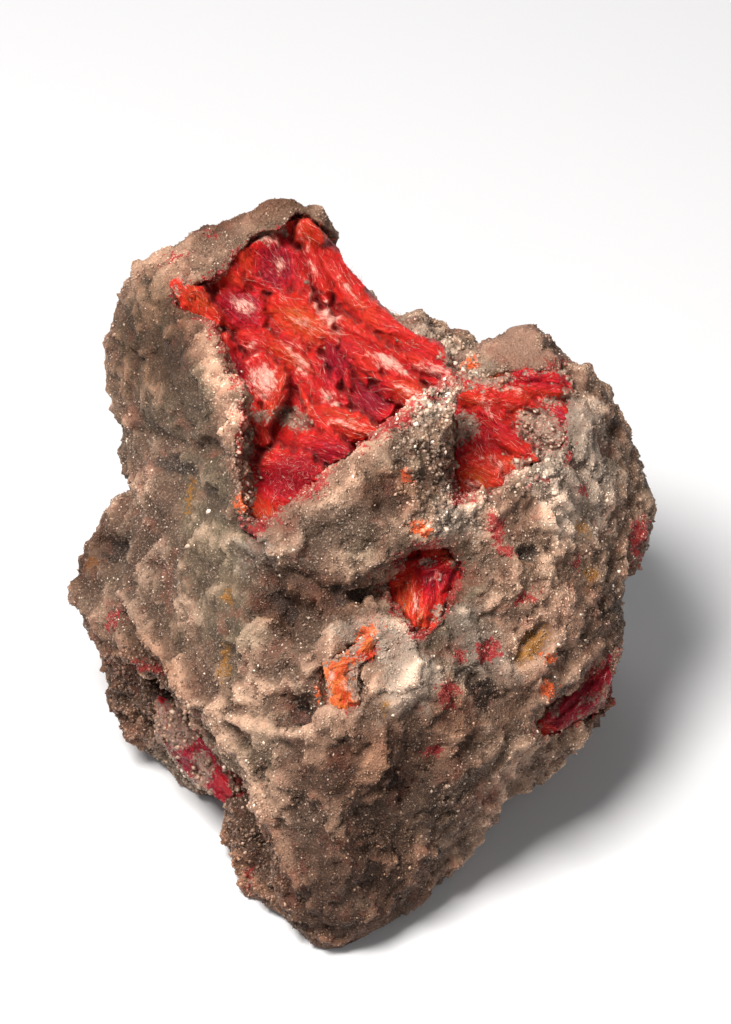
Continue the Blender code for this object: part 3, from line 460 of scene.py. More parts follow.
def new_finish(name):
    """A new material, its node tree and its shader."""
    made = bpy.data.materials.new(name)
    made.use_nodes = True
    return made, made.node_tree, made.node_tree.nodes["Principled BSDF"]


# Colours of the rock, in the order in which they are laid over one another. The colours in hollows and on
# crests are painted shade and a painted highlight.
EVEN_GROUND = (0.178, 0.090, 0.058), (0.120, 0.087, 0.054)
TAN, PINK, GREEN = (0.37, 0.245, 0.172), (0.31, 0.180, 0.122), (0.105, 0.088, 0.054)
BROWN, BLUSH, WHITE = (0.066, 0.037, 0.022), (0.36, 0.21, 0.15), (0.44, 0.38, 0.32)
PAINTED_SHADE_IN_HOLLOWS, PAINTED_HIGHLIGHT_ON_CRESTS, PITS = (0.045, 0.026, 0.016), (0.44, 0.315, 0.235), (0.040, 0.023, 0.014)
OCHRE, ORANGE, CRIMSON = (0.24, 0.105, 0.012), (0.60, 0.10, 0.02), (0.27, 0.008, 0.012)
# The dark colour is of dark specks, and painted shade in pits, cracks, a valley and under the ledge.
DARK_SPECKS_AND_PIT_SHADE, PALE_SUGAR, FLUSH = (0.022, 0.015, 0.012), (0.46, 0.35, 0.27), (0.26, 0.085, 0.055)
# The spark colour is a painted glint.
GLASSY, PAINTED_GLINT, RUST = (0.48, 0.40, 0.33), (0.80, 0.72, 0.64), (0.26, 0.05, 0.03)
# Browned is painted shade where the light falls off.
UNTONED, SHADE_BROWN_PAINT = (1.0, 0.92, 0.86), (0.60, 0.43, 0.34)


def quartz_finish(name, glassy):
    """Sugary quartz; the loose grains are glassier than the ground they sit in. Hollows get painted shade,
    and crests a painted highlight and more brightness.
    """
    made, tree, shader = new_finish(name)
    where = add(tree, "ShaderNodeTexCoord").outputs["Object"]
    mask = kept_values(tree, (*GROUND, *STAINS, *TONES, "painted_hollow_shade", "grain"))
    broad, middling = speckle(tree, where, 9.0), speckle(tree, where, 2.4, 4.0)
    fine, tiny = speckle(tree, where, 0.55, 3.0, 0.65), speckle(tree, where, 0.22, 2.0, 0.7)
    flushed = speckle(tree, where, 3.6, 4.0, 0.65)
    # Crests, which get a painted highlight.
    high = maths(tree, "MULTIPLY_ADD", mask["painted_hollow_shade"], -2.2, 0.9, clamp=True)
    # Glassy grains are whiter, and the whitest of them carry a painted glint.
    glassy_white_and_painted_glint = [
        (mask["grain"], 0.30, GLASSY),
        (maths(tree, "MULTIPLY_ADD", mask["grain"], 9.0, -8.0, clamp=True), 0.8, PAINTED_GLINT)] if glassy else []
    base = blend_in(tree, stretched(tree, broad, 0.5, 4.0, 0.5), *(colour(*tint) for tint in EVEN_GROUND))
    for where_laid, share, tint in [
            (stretched(tree, middling, 0.52, 5.0, 0.5), 1.0, TAN),
            (ragged(tree, mask["pink"], middling), 0.7, PINK),
            (ragged(tree, mask["green"], middling), 0.75, GREEN),
            (ragged(tree, mask["brown"], middling), 0.75, BROWN),
            (ragged(tree, mask["blush"], fine), 1.0, BLUSH),
            (ragged(tree, mask["white"], fine, 2.5), 0.7, WHITE),
            # Painted shade in hollows, and a painted highlight on crests.
            (mask["painted_hollow_shade"], 0.75, PAINTED_SHADE_IN_HOLLOWS),
            (high, 0.36, PAINTED_HIGHLIGHT_ON_CRESTS),
            (stretched(tree, fine, 0.60, 9.0), 0.55, PITS),
            (ragged(tree, mask["ochre"], fine), 0.85, OCHRE),
            (ragged(tree, mask["orange"], fine, 6.0), 1.0, ORANGE),
            (ragged(tree, mask["crimson"], fine, 5.0), 0.9, CRIMSON),
            # Dark specks, and painted shade in pits, cracks, a valley and under the ledge.
            (ragged(tree, mask["dark"], middling), 0.8, DARK_SPECKS_AND_PIT_SHADE),
            (stretched(tree, tiny, 0.56, 7.0), 0.38, PALE_SUGAR),
            (stretched(tree, flushed, 0.54, 6.0), 0.42, FLUSH),
            *glassy_white_and_painted_glint,
            (stretched(tree, tiny, 0.70, 12.0), 0.45, RUST)]:
        base = coated(tree, base, where_laid, share, tint)
    bright = maths(tree, "MULTIPLY_ADD", mask["grain"], 0.8 if glassy else 0.55, 0.65 if glassy else 0.76)
    shaded = maths(tree, "MULTIPLY_ADD", tiny, 0.7, 0.65)
    # Painted shade browns and darkens the colour where the light falls off, and painted light brightens it
    # where it falls brighter.
    shade_paint_tint = blend_in(tree, mask["painted_shade_tone"], colour(*UNTONED), colour(*SHADE_BROWN_PAINT))
    base = add(tree, "ShaderNodeVectorMath", {0: base, 1: shade_paint_tint}, operation="MULTIPLY").outputs[0]
    light_paint_gain = maths(tree, "MULTIPLY_ADD", mask["painted_light_tone"], 0.30, 0.96)
    # Crests are painted brighter still, as a painted highlight.
    crest_highlight_gain = maths(tree, "MULTIPLY_ADD", high, 0.45, 1.0)
    value = maths(tree, "MULTIPLY", maths(tree, "MULTIPLY", bright, shaded),
                  maths(tree, "MULTIPLY", light_paint_gain, crest_highlight_gain))
    toned = add(tree, "ShaderNodeVectorMath", {0: base, "Scale": value}, operation="SCALE").outputs[0]
    tree.links.new(toned, shader.inputs["Base Color"])
    if glassy:
        shader.inputs["Roughness"].default_value = 0.28
        shader.inputs["Specular IOR Level"].default_value = 0.45
    else:
        shader.inputs["Specular IOR Level"].default_value = 0.28
        rough = maths(tree, "MULTIPLY_ADD", tiny, -0.8, 0.95, clamp=True)
        tree.links.new(rough, shader.inputs["Roughness"])
        grit = maths(tree, "ADD", tiny, fine)
        bump = add(tree, "ShaderNodeBump", {"Strength": 1.0, "Distance": 0.22 * MM, "Height": grit})
        tree.links.new(bump.outputs[0], shader.inputs["Normal"])
    return made


skin.data.materials.clear()
skin.data.materials.append(quartz_finish("quartz_ground", False))
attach(skin, "root")
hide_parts("matrix")


# The sugar of the rock: blunt quartz grains of 0.1 to 0.6 mm that stand out of the broken ground all over,
# and small pointed crystals that line its druses. They grew there, half sunk in what carries them.
GRAINS = 24000           # in a piece of grains
DRUSE_CRYSTALS = 7000
CRYSTAL_SUNK = 0.10      # mm that a crystal is sunk in the rock
rng = np.random.default_rng(5)


def joined_mesh(name, places, faces):
    """A piece of many small shapes joined, from their points in metres and their triangles."""
    mesh = bpy.data.meshes.new(name)
    mesh.vertices.add(len(places))
    mesh.vertices.foreach_set("co", places.astype(np.float32).ravel())
    mesh.loops.add(faces.size)
    mesh.loops.foreach_set("vertex_index", faces.astype(np.int32).ravel())
    mesh.polygons.add(len(faces))
    mesh.polygons.foreach_set("loop_start", np.arange(0, faces.size, 3, dtype=np.int32))
    mesh.update(calc_edges=True)
    return placed(name, mesh)


def shape_of(piece):
    """Points and triangles of a small shape, which is then removed."""
    piece.data.calc_loop_triangles()
    corners = np.array([point.co for point in piece.data.vertices])
    faces = np.array([triangle.vertices for triangle in piece.data.loop_triangles])
    bpy.data.objects.remove(piece)
    return corners, faces


def turned_at_random(count):
    """Random turns, as one matrix each."""
    spin = rng.normal(size=(count, 4))
    a, b, c, d = (spin / np.linalg.norm(spin, axis=1)[:, None]).T
    return np.array([
        [a * a + b * b - c * c - d * d, 2 * (b * c - a * d), 2 * (b * d + a * c)],
        [2 * (b * c + a * d), a * a - b * b + c * c - d * d, 2 * (c * d - a * b)],
        [2 * (b * d - a * c), 2 * (c * d + a * b), a * a - b * b - c * c + d * d],
    ]).transpose(2, 0, 1)


def turned_along(directions, lean):
    """Turns that stand a shape's Z along directions that lean at random, as one matrix each."""
    up = directions + rng.normal(size=directions.shape) * lean
    up /= np.linalg.norm(up, axis=1)[:, None]
    aside = np.cross(up, rng.normal(size=directions.shape))
    aside /= np.linalg.norm(aside, axis=1)[:, None]
    return np.stack([aside, np.cross(up, aside), up], axis=2)


def scatter_on(piece, count, weights):
    """Random places on a piece: point, normal and the index of the nearest point of its mesh."""
    piece.data.calc_loop_triangles()
    triangles = np.empty(len(piece.data.loop_triangles) * 3, np.int32)
    piece.data.loop_triangles.foreach_get("vertices", triangles)
    triangles = triangles.reshape(-1, 3)
    if piece != skin:        # a crust's faces come in another order each time, so they are put in one
        triangles = triangles[np.lexsort(triangles.T[::-1])]
    points = points_of(piece)
    a, b, c = (points[triangles[:, corner]] for corner in range(3))
    area = np.linalg.norm(np.cross(b - a, c - a), axis=1)
    chance = area * weights[triangles[:, 0]]
    chosen = rng.choice(len(triangles), count, p=chance / chance.sum())
    s, t = np.sort(rng.random((2, count)), axis=0)[:, :, None]
    place = a[chosen] * s + b[chosen] * (t - s) + c[chosen] * (1 - t)
    nearest = triangles[chosen, 0]
    return place, points_of(piece, "normal")[nearest], nearest


def joined_copies(name, shape, place, turn, size, unevenness=0.0):
    """Copies of a small shape joined in one piece, each with its place, turn and size along x, y and z."""
    corners, faces = shape
    count = len(place)
    own = corners[None] * size[:, None, :]
    own = own * (1 + unevenness * rng.uniform(-1, 1, (count, len(corners), 1)))
    points = place[:, None, :] + np.einsum("nij,nkj->nki", turn, own)
    together = faces[None] + (np.arange(count) * len(corners))[:, None, None]
    return joined_mesh(name, points.reshape(-1, 3), together.reshape(-1, 3))


bpy.ops.mesh.primitive_cone_add(vertices=4, radius1=1.0, radius2=0.0, depth=1.0, end_fill_type="NOTHING",
                                location=(0, 0, 0.5))
bpy.ops.object.transform_apply(location=True)
halves = bpy.context.active_object.modifiers.new("halves", "MIRROR")
halves.use_axis = (False, False, True)
bpy.ops.object.modifier_apply(modifier=halves.name)
grain_shape = shape_of(bpy.context.active_object)
bpy.ops.mesh.primitive_cone_add(vertices=3, radius1=1.0, radius2=0.0, depth=1.5)
speck_shape = shape_of(bpy.context.active_object)
bpy.ops.mesh.primitive_cone_add(vertices=6, radius1=1.0, radius2=0.0, depth=0.9, location=(0, 0, 0.85))
bpy.ops.object.transform_apply(location=True)
crystal = bpy.context.active_object
bpy.ops.object.mode_set(mode="EDIT")
bpy.ops.mesh.select_all(action="DESELECT")
bpy.ops.mesh.select_mode(type="FACE")
bpy.ops.object.mode_set(mode="OBJECT")
for face in crystal.data.polygons:
    face.select = face.normal.z < -0.9
bpy.ops.object.mode_set(mode="EDIT")
bpy.ops.mesh.extrude_region_move(TRANSFORM_OT_translate={"value": (0, 0, -1.3)})
bpy.ops.mesh.select_all(action="DESELECT")
bpy.ops.object.mode_set(mode="OBJECT")
crystal_shape = shape_of(crystal)

grain_ground = quartz_finish("quartz_grains", True)
above_base = np.clip((points_of(skin)[:, 2] / MM - 0.6) * 2, 0, 1)
seen_share = 0.55 + 1.6 * np.clip(points_of(skin, "normal") @ OUT * 2 + 0.4, 0, 1)
calm = 1 - 0.9 * shares["blush"] - 0.45 * shares["green"]
gathered = 0.35 + np.clip(cloud(points_of(skin), 2.6, 2, 3.0) + 0.6, 0, 1.4)
grain_chance = above_base * seen_share * calm * gathered


def finish_grains(piece, tints, nearest, each, whiteness_and_glint):
    """Tint loose grains as the ground they sit on, with a whiteness of their own that gives the whitest
    glassy grains a painted glint, and finish the piece.
    """
    for layer, values in tints.items():
        paint(piece, layer, np.repeat(values[nearest], each))
    paint(piece, "grain", np.repeat(whiteness_and_glint, each))
    piece.data.materials.append(grain_ground)
    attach(piece, "root")


def quartz_grains(name, carrier, chance, tints, shape, count, smallest, largest):
    """A piece of loose grains that sit on a carrier by chance and take its tints."""
    place, normal, nearest = scatter_on(carrier, count, chance)
    size = smallest + (largest - smallest) * rng.random(count) ** 2.4
    size = size * (1 + 0.5 * tints["druse"][nearest] - 0.2 * tints["green"][nearest])
    stretch = rng.uniform(0.65, 1.4, (count, 3))
    piece = joined_copies(name, shape, place, turned_at_random(count), size[:, None] * stretch * MM, 0.2)
    finish_grains(piece, tints, nearest, len(shape[0]), rng.beta(1.6, 1.6, count))


quartz_grains("sugar_coarse", skin, grain_chance, shares, grain_shape, GRAINS, 0.09, 0.21)
quartz_grains("sugar_middling", skin, grain_chance, shares, grain_shape, GRAINS, 0.07, 0.17)
quartz_grains("sugar_fine", skin, grain_chance, shares, speck_shape, GRAINS * 2, 0.06, 0.14)

druse_chance = above_base * (np.clip(shares["druse"] * 2 - 0.7, 0, 1) + 0.02)
place, normal, nearest = scatter_on(skin, DRUSE_CRYSTALS, druse_chance)
width = (0.09 + 0.17 * rng.random(DRUSE_CRYSTALS) ** 2) * MM
length = width * rng.uniform(0.9, 1.5, DRUSE_CRYSTALS)
druse = joined_copies("druse_crystals", crystal_shape, place - normal * CRYSTAL_SUNK * MM,
                      turned_along(normal, 0.45), np.stack([width, width, length], axis=1))
finish_grains(druse, shares, nearest, len(crystal_shape[0]), rng.beta(3, 2, DRUSE_CRYSTALS))


# The cuprite: felted hair-like crystals that line the rock's hollows as silky, folded leaves, bright red with
# orange, crimson and pinkish white ones. Each hollow's crust is one sheet grown on to the rock: its leaves
# overlap one another like torn petals, and its border goes back into the hollow's walls.
CRUST_GRID = 0.095       # mm between a crust's points
TUCKED = (0.3, 1.5)      # mm that its border is tucked under the rock's skin, and pressed down at most
CRUST_BACK = 2.5         # mm that its border then goes back into the rock
NO_ROCK = -60.0          # mm, for a height where there is no rock
FLAKE_LONG = (1.2, 4.4)  # mm, its small flakes
STRANDS = [(2.6, 0.42, 0.13), (1.6, 0.17, 0.06)]         # length, width and height of its fibres' ridges, mm

# Each crust's slot, the way its fibres run in degrees, its number of small flakes, the heights of its ground
# (x, v, w), its leaves (start, end, width, crest), its slits as the rock's creases are given, and the ovals
# where druse and each tint show. All are in mm.
CRUSTS = {
    "cuprite_main_hollow": {
        "slot": "red_cuprite",
        "heading": -50,
        "flakes": 90,
        "under": 4.0,
        "ground": [
            (-18.8, 66.2, -12.2), (-7, 73.2, -16.0), (-2.4, 70, -16.6), (0.6, 65.2, -14.6), (8, 58.8, -8.6),
            (8.4, 57.4, -6.6), (3, 54, -7.0), (-11, 54, -8.6), (-14.6, 61.4, -10.6), (-3.8, 49, -3.4),
            (-7.4, 45.6, 0.2), (-10.9, 42.2, 2.2), (-12.2, 50, -5.4), (-11.6, 54.8, -8.2), (0, 58, -9.0)],
        "leaves": [
            ((-4.6, 70.4, -14.8), (1.0, 62.2, -11.0), 3.2, 1.7),
            ((-1.6, 64.8, -12.6), (8.4, 58.6, -5.8), 3.4, 1.9),
            ((-5.8, 70.8, -14.2), (-3.8, 64.6, -12), 2.2, 1.2),
            ((-6.4, 73, -14.6), (-4.2, 70.6, -13.6), 3.4, 1.0),
            ((-11, 71, -13.2), (-7.8, 66, -12.2), 4.4, 1.5),
            ((-7.2, 70, -13.4), (-5.6, 63.6, -11), 2.2, 1.3),
            ((-9.6, 65.2, -10.8), (-2.7, 60.4, -8), 4.8, 2.2),
            ((-3.3, 63, -9.8), (1.4, 57.9, -6.4), 3.8, 1.8),
            ((0, 60.3, -8.4), (5.3, 56.5, -4.6), 3.2, 1.3), ((4, 59.4, -7.4), (8.8, 56.8, -4), 2.8, 1.3),
            ((1.4, 56.8, -6.2), (6.4, 54.9, -3.4), 3.0, 1.4),
            ((-1.8, 57.2, -8.6), (2.6, 53.5, -6.2), 4.2, 0.9),
            ((-7.4, 60, -8.2), (-3.4, 54.4, -6.4), 3.8, 1.7),
            ((-5.6, 55.8, -6.8), (-1.6, 54.6, -6), 2.2, 1.0),
            ((-9.8, 60.6, -7.9), (-5.2, 57.6, -6.8), 2.3, 1.5),
            ((-11.8, 59.2, -6.4), (-8.4, 54.6, -4.8), 4.4, 1.0),
            ((-8.2, 57.8, -6.0), (-10.2, 52.2, -4.0), 1.9, 1.5),
            ((-12.4, 59, -7.4), (-10.8, 54.8, -5.8), 3.0, 1.2),
            ((-14.4, 61.8, -8.4), (-12.6, 55.6, -6.2), 2.4, 1.1),
            ((-12.8, 61.6, -8.8), (-9.4, 60, -8), 2.2, 1.0),
            ((-8.6, 61.6, -9), (-6, 59.8, -8.2), 2.0, 1.0),
            ((-15, 68.4, -10.8), (-12.2, 66, -10), 3.0, 1.4),
            ((-13.2, 70.4, -12.4), (-11.2, 66.6, -11), 2.8, 1.3),
            ((-14.6, 66, -10.4), (-10.2, 62.4, -9.4), 4.4, 1.2),
            ((-19.4, 67.2, -9.4), (-14.6, 62.4, -7.6), 3.0, 1.3),
            ((-6, 53.8, -5.2), (1.4, 51.6, -2.2), 3.2, 1.3),
            ((-7, 51, -3.6), (-1.4, 49.6, -1.2), 3.0, 1.0),
            ((-10.6, 48.6, -1.8), (-3.8, 46.9, 0.6), 4.6, 1.4),
            ((-11.7, 45.4, -0.8), (-9.6, 42.0, 2.6), 2.7, 1.1),
            ((-12, 53.8, -5.8), (-9.8, 50.4, -3.8), 2.4, 0.8),
            ((-2.6, 67.6, -14.4), (-1, 63.4, -12), 2.2, 1.0),
            ((-3.2, 60.6, -8.2), (-1.4, 56.0, -6.8), 1.4, 1.0),
            ((-1.6, 60.4, -8.2), (0.2, 56.4, -6.6), 1.2, 0.9)],
        "slits": [
            ([(-19.4, 64.8), (-18.8, 66.8), (-16.4, 67.8), (-13.4, 70.4), (-9.0, 72.6), (-5.6, 73.4)],
             2.4, -3.6),
            ([(-5.6, 66.1), (-4.6, 65.6), (-3.4, 65.0)], 0.32, 1.4),
            ([(-3.0, 62.2), (-1.4, 61.6), (0.6, 60.5), (2.9, 59.4), (5.1, 57.6), (7.4, 57.2)], 0.3, 1.6),
            ([(-6.3, 70.2), (-5.5, 66.8), (-4.2, 63.6)], 0.25, 0.9),
            ([(-0.6, 56.4), (0.6, 55.0), (1.8, 54.2)], 1.0, 1.3),
            ([(-4.2, 61.0), (-3.2, 58.4), (-2.2, 57.4)], 0.3, 1.2),
            ([(-13.0, 59.8), (-12.6, 57.8)], 0.5, 1.8),
            ([(-8.6, 54.6), (-6.4, 52.6)], 0.5, 1.0),
            ([(-9.8, 61.6), (-8.4, 60.6)], 0.3, 0.9),
            ([(-11.6, 66.8), (-9.0, 65.2)], 0.25, 1.0)],
        "druse": [(-7.4, 53.2, 2.0, 1.0, -20), (-12.0, 50.9, 0.9, 2.4, 0), (-10.4, 53.4, 1.3, 0.6, 0)],
        "pale_and_sheen": [
            (-10.2, 56.9, 1.5, 1.7, 10), (-5.3, 67.2, 0.4, 3.6, 14), (-3.4, 63.2, 0.5, 1.8, 30),
            (2.6, 58.6, 2.0, 0.8, -25),
            (6.2, 58.0, 1.3, 0.6, -10), (-3.6, 55.2, 1.3, 0.6, 0), (-11.5, 60.4, 0.6, 0.6, 0),
            (-7.3, 60.6, 0.8, 0.4, 0), (-12.2, 64.4, 1.5, 0.9, -30), (-6.2, 62.6, 1.2, 0.5, -30),
            (-1.8, 66.4, 0.35, 1.4, 35), (4.0, 56.0, 0.9, 0.4, -30), (-2.4, 52.8, 1.6, 0.4, -12),
            (-8.6, 68.6, 0.7, 0.9, -25), (-6.6, 58.4, 0.6, 1.1, 30), (-9.4, 71.2, 0.9, 0.4, -20)],
        "orange": [
            (-17.0, 65.0, 2.8, 1.2, -45), (-13.5, 67.0, 1.5, 0.9, -30), (-11.9, 68.9, 1.0, 1.8, 20),
            (-0.6, 64.6, 0.6, 4.0, 38), (-6.4, 62.8, 3.0, 1.4, -30),
            (-7.4, 59.2, 2.2, 0.8, -28), (4.4, 55.8, 2.0, 1.2, -35), (-9.4, 53.8, 0.9, 1.6, 20),
            (-2.2, 52.8, 3.2, 1.1, -14), (-10.3, 43.4, 1.6, 1.8, 30), (-5.6, 71.8, 1.8, 1.3, -40),
            (-8.6, 56.8, 0.5, 2.2, -20)],
        "crimson": [
            (-9.0, 68.4, 2.0, 2.2, -30), (-7.4, 47.4, 3.2, 1.9, 15), (0.6, 55.2, 1.9, 1.7, 0),
            (-3.2, 58.8, 1.5, 2.2, -20), (-12.4, 64.4, 2.1, 1.6, -30), (-3.9, 49.6, 2.4, 0.9, 10),
            (7.4, 57.6, 0.9, 0.9, 0), (-13.0, 57.6, 0.7, 1.9, 0)],
    },
    "cuprite_right_hollow": {
        "slot": "red_cuprite",
        "heading": -40,
        "flakes": 60,
        "ground": [
            (9, 56, -4.0), (20.2, 56.4, -6.4), (19.8, 50.6, -4.2), (13.4, 46.4, -1.6), (9.2, 45, -1.2),
            (8.5, 50, -2.8)],
        "leaves": [
            ((9.2, 55.6, -3.4), (16.8, 54.6, -4.2), 3.2, 1.3),
            ((10.8, 54, -3.6), (15.6, 49.8, -2.4), 3.6, 1.6),
            ((12.6, 51.2, -2.8), (17.4, 48.6, -1.6), 2.7, 1.2),
            ((9, 49, -1.8), (13.9, 46.2, -0.6), 3.2, 1.3),
            ((14, 56.4, -5.2), (20.4, 55.7, -5.8), 2.4, 1.2),
            ((15.4, 54, -4.8), (19.9, 50.8, -4), 3.3, 1.3), ((9.2, 52, -3), (9.8, 47.6, -2), 2.2, 0.9),
            ((17, 52, -3.8), (19.6, 50.6, -3.6), 2.0, 1.0),
            ((15.2, 57.4, -5.6), (19.8, 56.8, -5.8), 1.4, 0.9),
            ((10.2, 52.8, -3.2), (12.6, 48.8, -1.8), 1.8, 1.0)],
        "slits": [
            ([(8.7, 46.6), (8.9, 45.8)], 0.5, 1.4), ([(12.6, 50.6), (14.4, 49.6)], 0.35, 1.1),
            ([(16.4, 54.6), (17.6, 52.4)], 0.4, 1.0), ([(11.0, 51.6), (12.0, 49.8)], 0.3, 1.0)],
        "druse": [(17.2, 52.4, 2.3, 1.8, -20), (18.6, 54.8, 1.0, 0.5, 0), (10.0, 52.4, 1.4, 1.5, 0),
                  (18.9, 49.8, 2.2, 1.7, -30), (16.6, 47.6, 1.9, 1.2, -40), (11.8, 57.4, 2.6, 1.0, -10)],
        "pale_and_sheen": [
            (13.2, 48.6, 1.4, 0.5, -30), (10.6, 46.4, 1.0, 0.5, -30), (12.2, 54.2, 0.5, 1.0, 30),
            (15.4, 53.4, 0.6, 0.3, 0), (14.6, 56.2, 1.0, 0.3, -8)],
        "orange": [
            (15.2, 53.4, 1.4, 0.7, -10), (13.6, 49.2, 2.0, 1.3, -30), (11.2, 46.6, 2.4, 1.5, -30),
            (17.4, 55.8, 2.8, 0.7, -6), (11.2, 55.0, 1.2, 0.7, 0)],
        "crimson": [
            (12.3, 50.4, 1.1, 0.6, -20), (18.5, 50.8, 1.3, 1.0, -30), (19.4, 52.6, 0.5, 1.0, 0),
            (18.0, 56.8, 2.6, 0.5, -4), (9.4, 50.6, 0.6, 1.6, 0)],
    },
    "cuprite_lower_pocket": {
        "slot": "red_cuprite",
        "warmth": 0.08,
        "heading": -70,
        "flakes": 35,
        "ground": [(1.4, 36.6, 3.0), (5.4, 40, 2.2), (9.2, 38.8, 2.6), (8.8, 36.2, 3.2), (5, 31.6, 5.4)],
        "leaves": [
            ((2.2, 36.6, 3.4), (9, 38.8, 3.8), 2.7, 1.2), ((5.4, 39, 2.8), (5, 32.2, 5.8), 3.2, 1.4),
            ((7.8, 38.4, 3.2), (6.1, 33.2, 5.4), 2.8, 1.2), ((3.5, 36.4, 3.4), (4.6, 33, 5.2), 2.4, 1.0),
            ((5.8, 40.6, 2.4), (8.6, 38.2, 3.2), 2.0, 0.9)],
        "slits": [([(5.0, 38.4), (5.6, 36.4)], 0.3, 0.9), ([(6.8, 36.6), (7.2, 34.8)], 0.25, 0.8),
                  ([(1.0, 37.2), (4.4, 39.8)], 0.7, 1.0)],
        "druse": [(6.2, 38.8, 0.7, 0.4, 20), (4.8, 31.6, 1.3, 0.5, 0)],
        "pale_and_sheen": [(5.0, 34.6, 0.3, 0.9, 10), (7.4, 37.4, 0.8, 0.3, 10)],
        "orange": [(4.2, 35.4, 1.2, 2.2, 15), (8.0, 39.6, 1.4, 0.5, -40), (5.6, 33.0, 0.8, 1.2, 0)],
        "crimson": [(6.6, 37.2, 1.3, 1.5, 0), (8.6, 37.4, 0.8, 1.0, 0)],
    },
    "cuprite_orange_patch": {
        "slot": "orange_cuprite",
        "warmth": 0.26,
        "heading": -70,
        "flakes": 16,
        "ground": [
            (-4.2, 28.8, 9.3), (-1.8, 29.4, 9.3), (0.6, 31.4, 8.7), (1.3, 30.6, 8.7), (-0.6, 24.8, 9.9),
            (-3.2, 23.8, 9.7)],
        "leaves": [
            ((-3.9, 29, 9.5), (-2.6, 24, 10.2), 2.1, 0.7), ((-2.6, 28.8, 9.3), (1.2, 31.4, 8.9), 1.8, 0.6),
            ((-2.6, 27, 9.9), (-0.8, 24.8, 10.3), 1.8, 0.7)],
        "slits": [([(-3.0, 26.0), (-2.6, 24.6)], 0.2, 0.5)],
        "druse": [(-1.2, 27.4, 0.8, 0.9, 0), (-0.8, 25.2, 0.4, 0.7, 0)],
        "pale_and_sheen": [(-1.9, 26.0, 0.4, 0.8, 0), (-3.4, 27.6, 0.3, 0.6, 0)],
        "orange": [(-2.6, 26.4, 3.0, 4.0, 0), (0.4, 30.6, 1.6, 0.9, 40)],
        "crimson": [],
    },
    "cuprite_crimson_seam": {
        "slot": "crimson_cuprite",
        "shade": 0.75,
        "heading": -145,
        "flakes": 35,
        "ground": [
            (25.9, 30.4, -7.9), (26.4, 26, -8.5), (20, 22.6, -4.5), (16.8, 21.6, -1.3), (19.2, 25, -3.7),
            (24, 29.6, -7.5)],
        "leaves": [
            ((25.8, 30.2, -7.6), (22.6, 25.4, -5.8), 3.2, 1.0),
            ((23.4, 26.4, -6.4), (17.2, 22, -1.4), 2.8, 1.0),
            ((25.2, 26.6, -8), (20, 23.2, -4.2), 2.4, 0.9)],
        "slits": [([(24.4, 28.4), (22.6, 26.6)], 0.3, 0.7), ([(20.8, 24.6), (18.8, 22.8)], 0.3, 0.7)],
        "druse": [(22.4, 25.2, 0.9, 0.4, 30), (25.6, 28.6, 0.4, 0.8, 0)],
        "pale_and_sheen": [],
        "orange": [(17.6, 22.0, 0.8, 0.8, 0)],
        "crimson": [(23.0, 26.6, 6.0, 6.0, 0)],
    },
    "cuprite_left_crevice": {
        "slot": "crimson_cuprite",
        "shade": 0.8,
        "heading": -55,
        "flakes": 25,
        "ground": [
            (-20.6, 25, -10.6), (-17.6, 24, -9.6), (-13, 15.8, -6.4), (-14, 15, -6.8), (-19, 19.2, -10.0)],
        "leaves": [
            ((-20.4, 24.4, -9.9), (-15.4, 18.6, -7.7), 3.2, 1.1),
            ((-16.8, 20.2, -8.2), (-13.2, 15.4, -6), 2.3, 0.9)],
        "slits": [([(-18.6, 21.6), (-15.6, 18.4)], 0.4, 0.8)],
        "druse": [(-18.8, 22.6, 2.6, 2.6, 0), (-16.2, 18.4, 1.0, 1.6, 20)],
        "pale_and_sheen": [],
        "orange": [(-14.0, 16.6, 0.5, 0.8, 30)],
        "crimson": [(-17.0, 20.0, 6.0, 6.0, 0)],
    },
}


def lay_leaf(sheet, start, end, width, crest, ridge, number):
    """Lay a leaf on a crust where it lies higher: a torn, ridged blade, blunt at its start and pointed at its
    end. Heights, its number, and the place along and across it are kept for each point."""
    (x0, v0, w0), (x1, v1, w1) = start, end
    length = math.hypot(x1 - x0, v1 - v0)
    ux, uv = (x1 - x0) / length, (v1 - v0) / length
    along = (sheet["x"] - x0) * ux + (sheet["v"] - v0) * uv
    across = (sheet["v"] - v0) * ux - (sheet["x"] - x0) * uv
    share = np.clip(along / length, 0, 1)
    torn = 1 + 0.13 * np.sin(along * 2.1 + x0 * 9) + 0.09 * np.sin(along * 5.3 + v0 * 7)
    half_width = 0.87 * width * share ** 0.35 * (1 - share) ** 0.45 * torn
    side = across / np.maximum(half_width, 1e-6)
    tent = np.where(side < ridge, (side + 1) / (ridge + 1), (1 - side) / (1 - ridge))
    height = w0 + (w1 - w0) * share + crest * (np.clip(tent, 0, 1) ** 0.7 - 0.25)
    higher = (np.abs(side) < 1) & (along > 0) & (along < length) & (height > sheet["w"])
    sheet["w"][higher] = height[higher]
    sheet["along"][higher] = along[higher]
    sheet["across"][higher] = across[higher] + number * 7.3
    sheet["heading"][higher] = math.atan2(uv, ux)
    sheet["leaf"][higher] = number


def soften(heights, times):
    """Heights of a grid, averaged with their neighbours a number of times."""
    for _ in range(times):
        edged = np.pad(heights, 1, mode="edge")
        heights = (edged[:-2, 1:-1] + edged[2:, 1:-1] + edged[1:-1, :-2] + edged[1:-1, 2:] + heights * 2) / 6
    return heights


def ovals_share(sheet, ovals):
    """How much of any of a list of ovals a place of a crust has: 0.5 at their edge."""
    if not ovals:
        return np.zeros(len(sheet["x"]))
    return np.clip(0.5 + in_ovals(sheet["x"], sheet["v"], ovals) / 1.4, 0, 1)


def noise_at(*places):
    """Plain noise of -1 to 1 at places given by their three coordinates."""
    return np.array([noise.noise(Vector(sample)) for sample in np.stack(places, axis=1)])


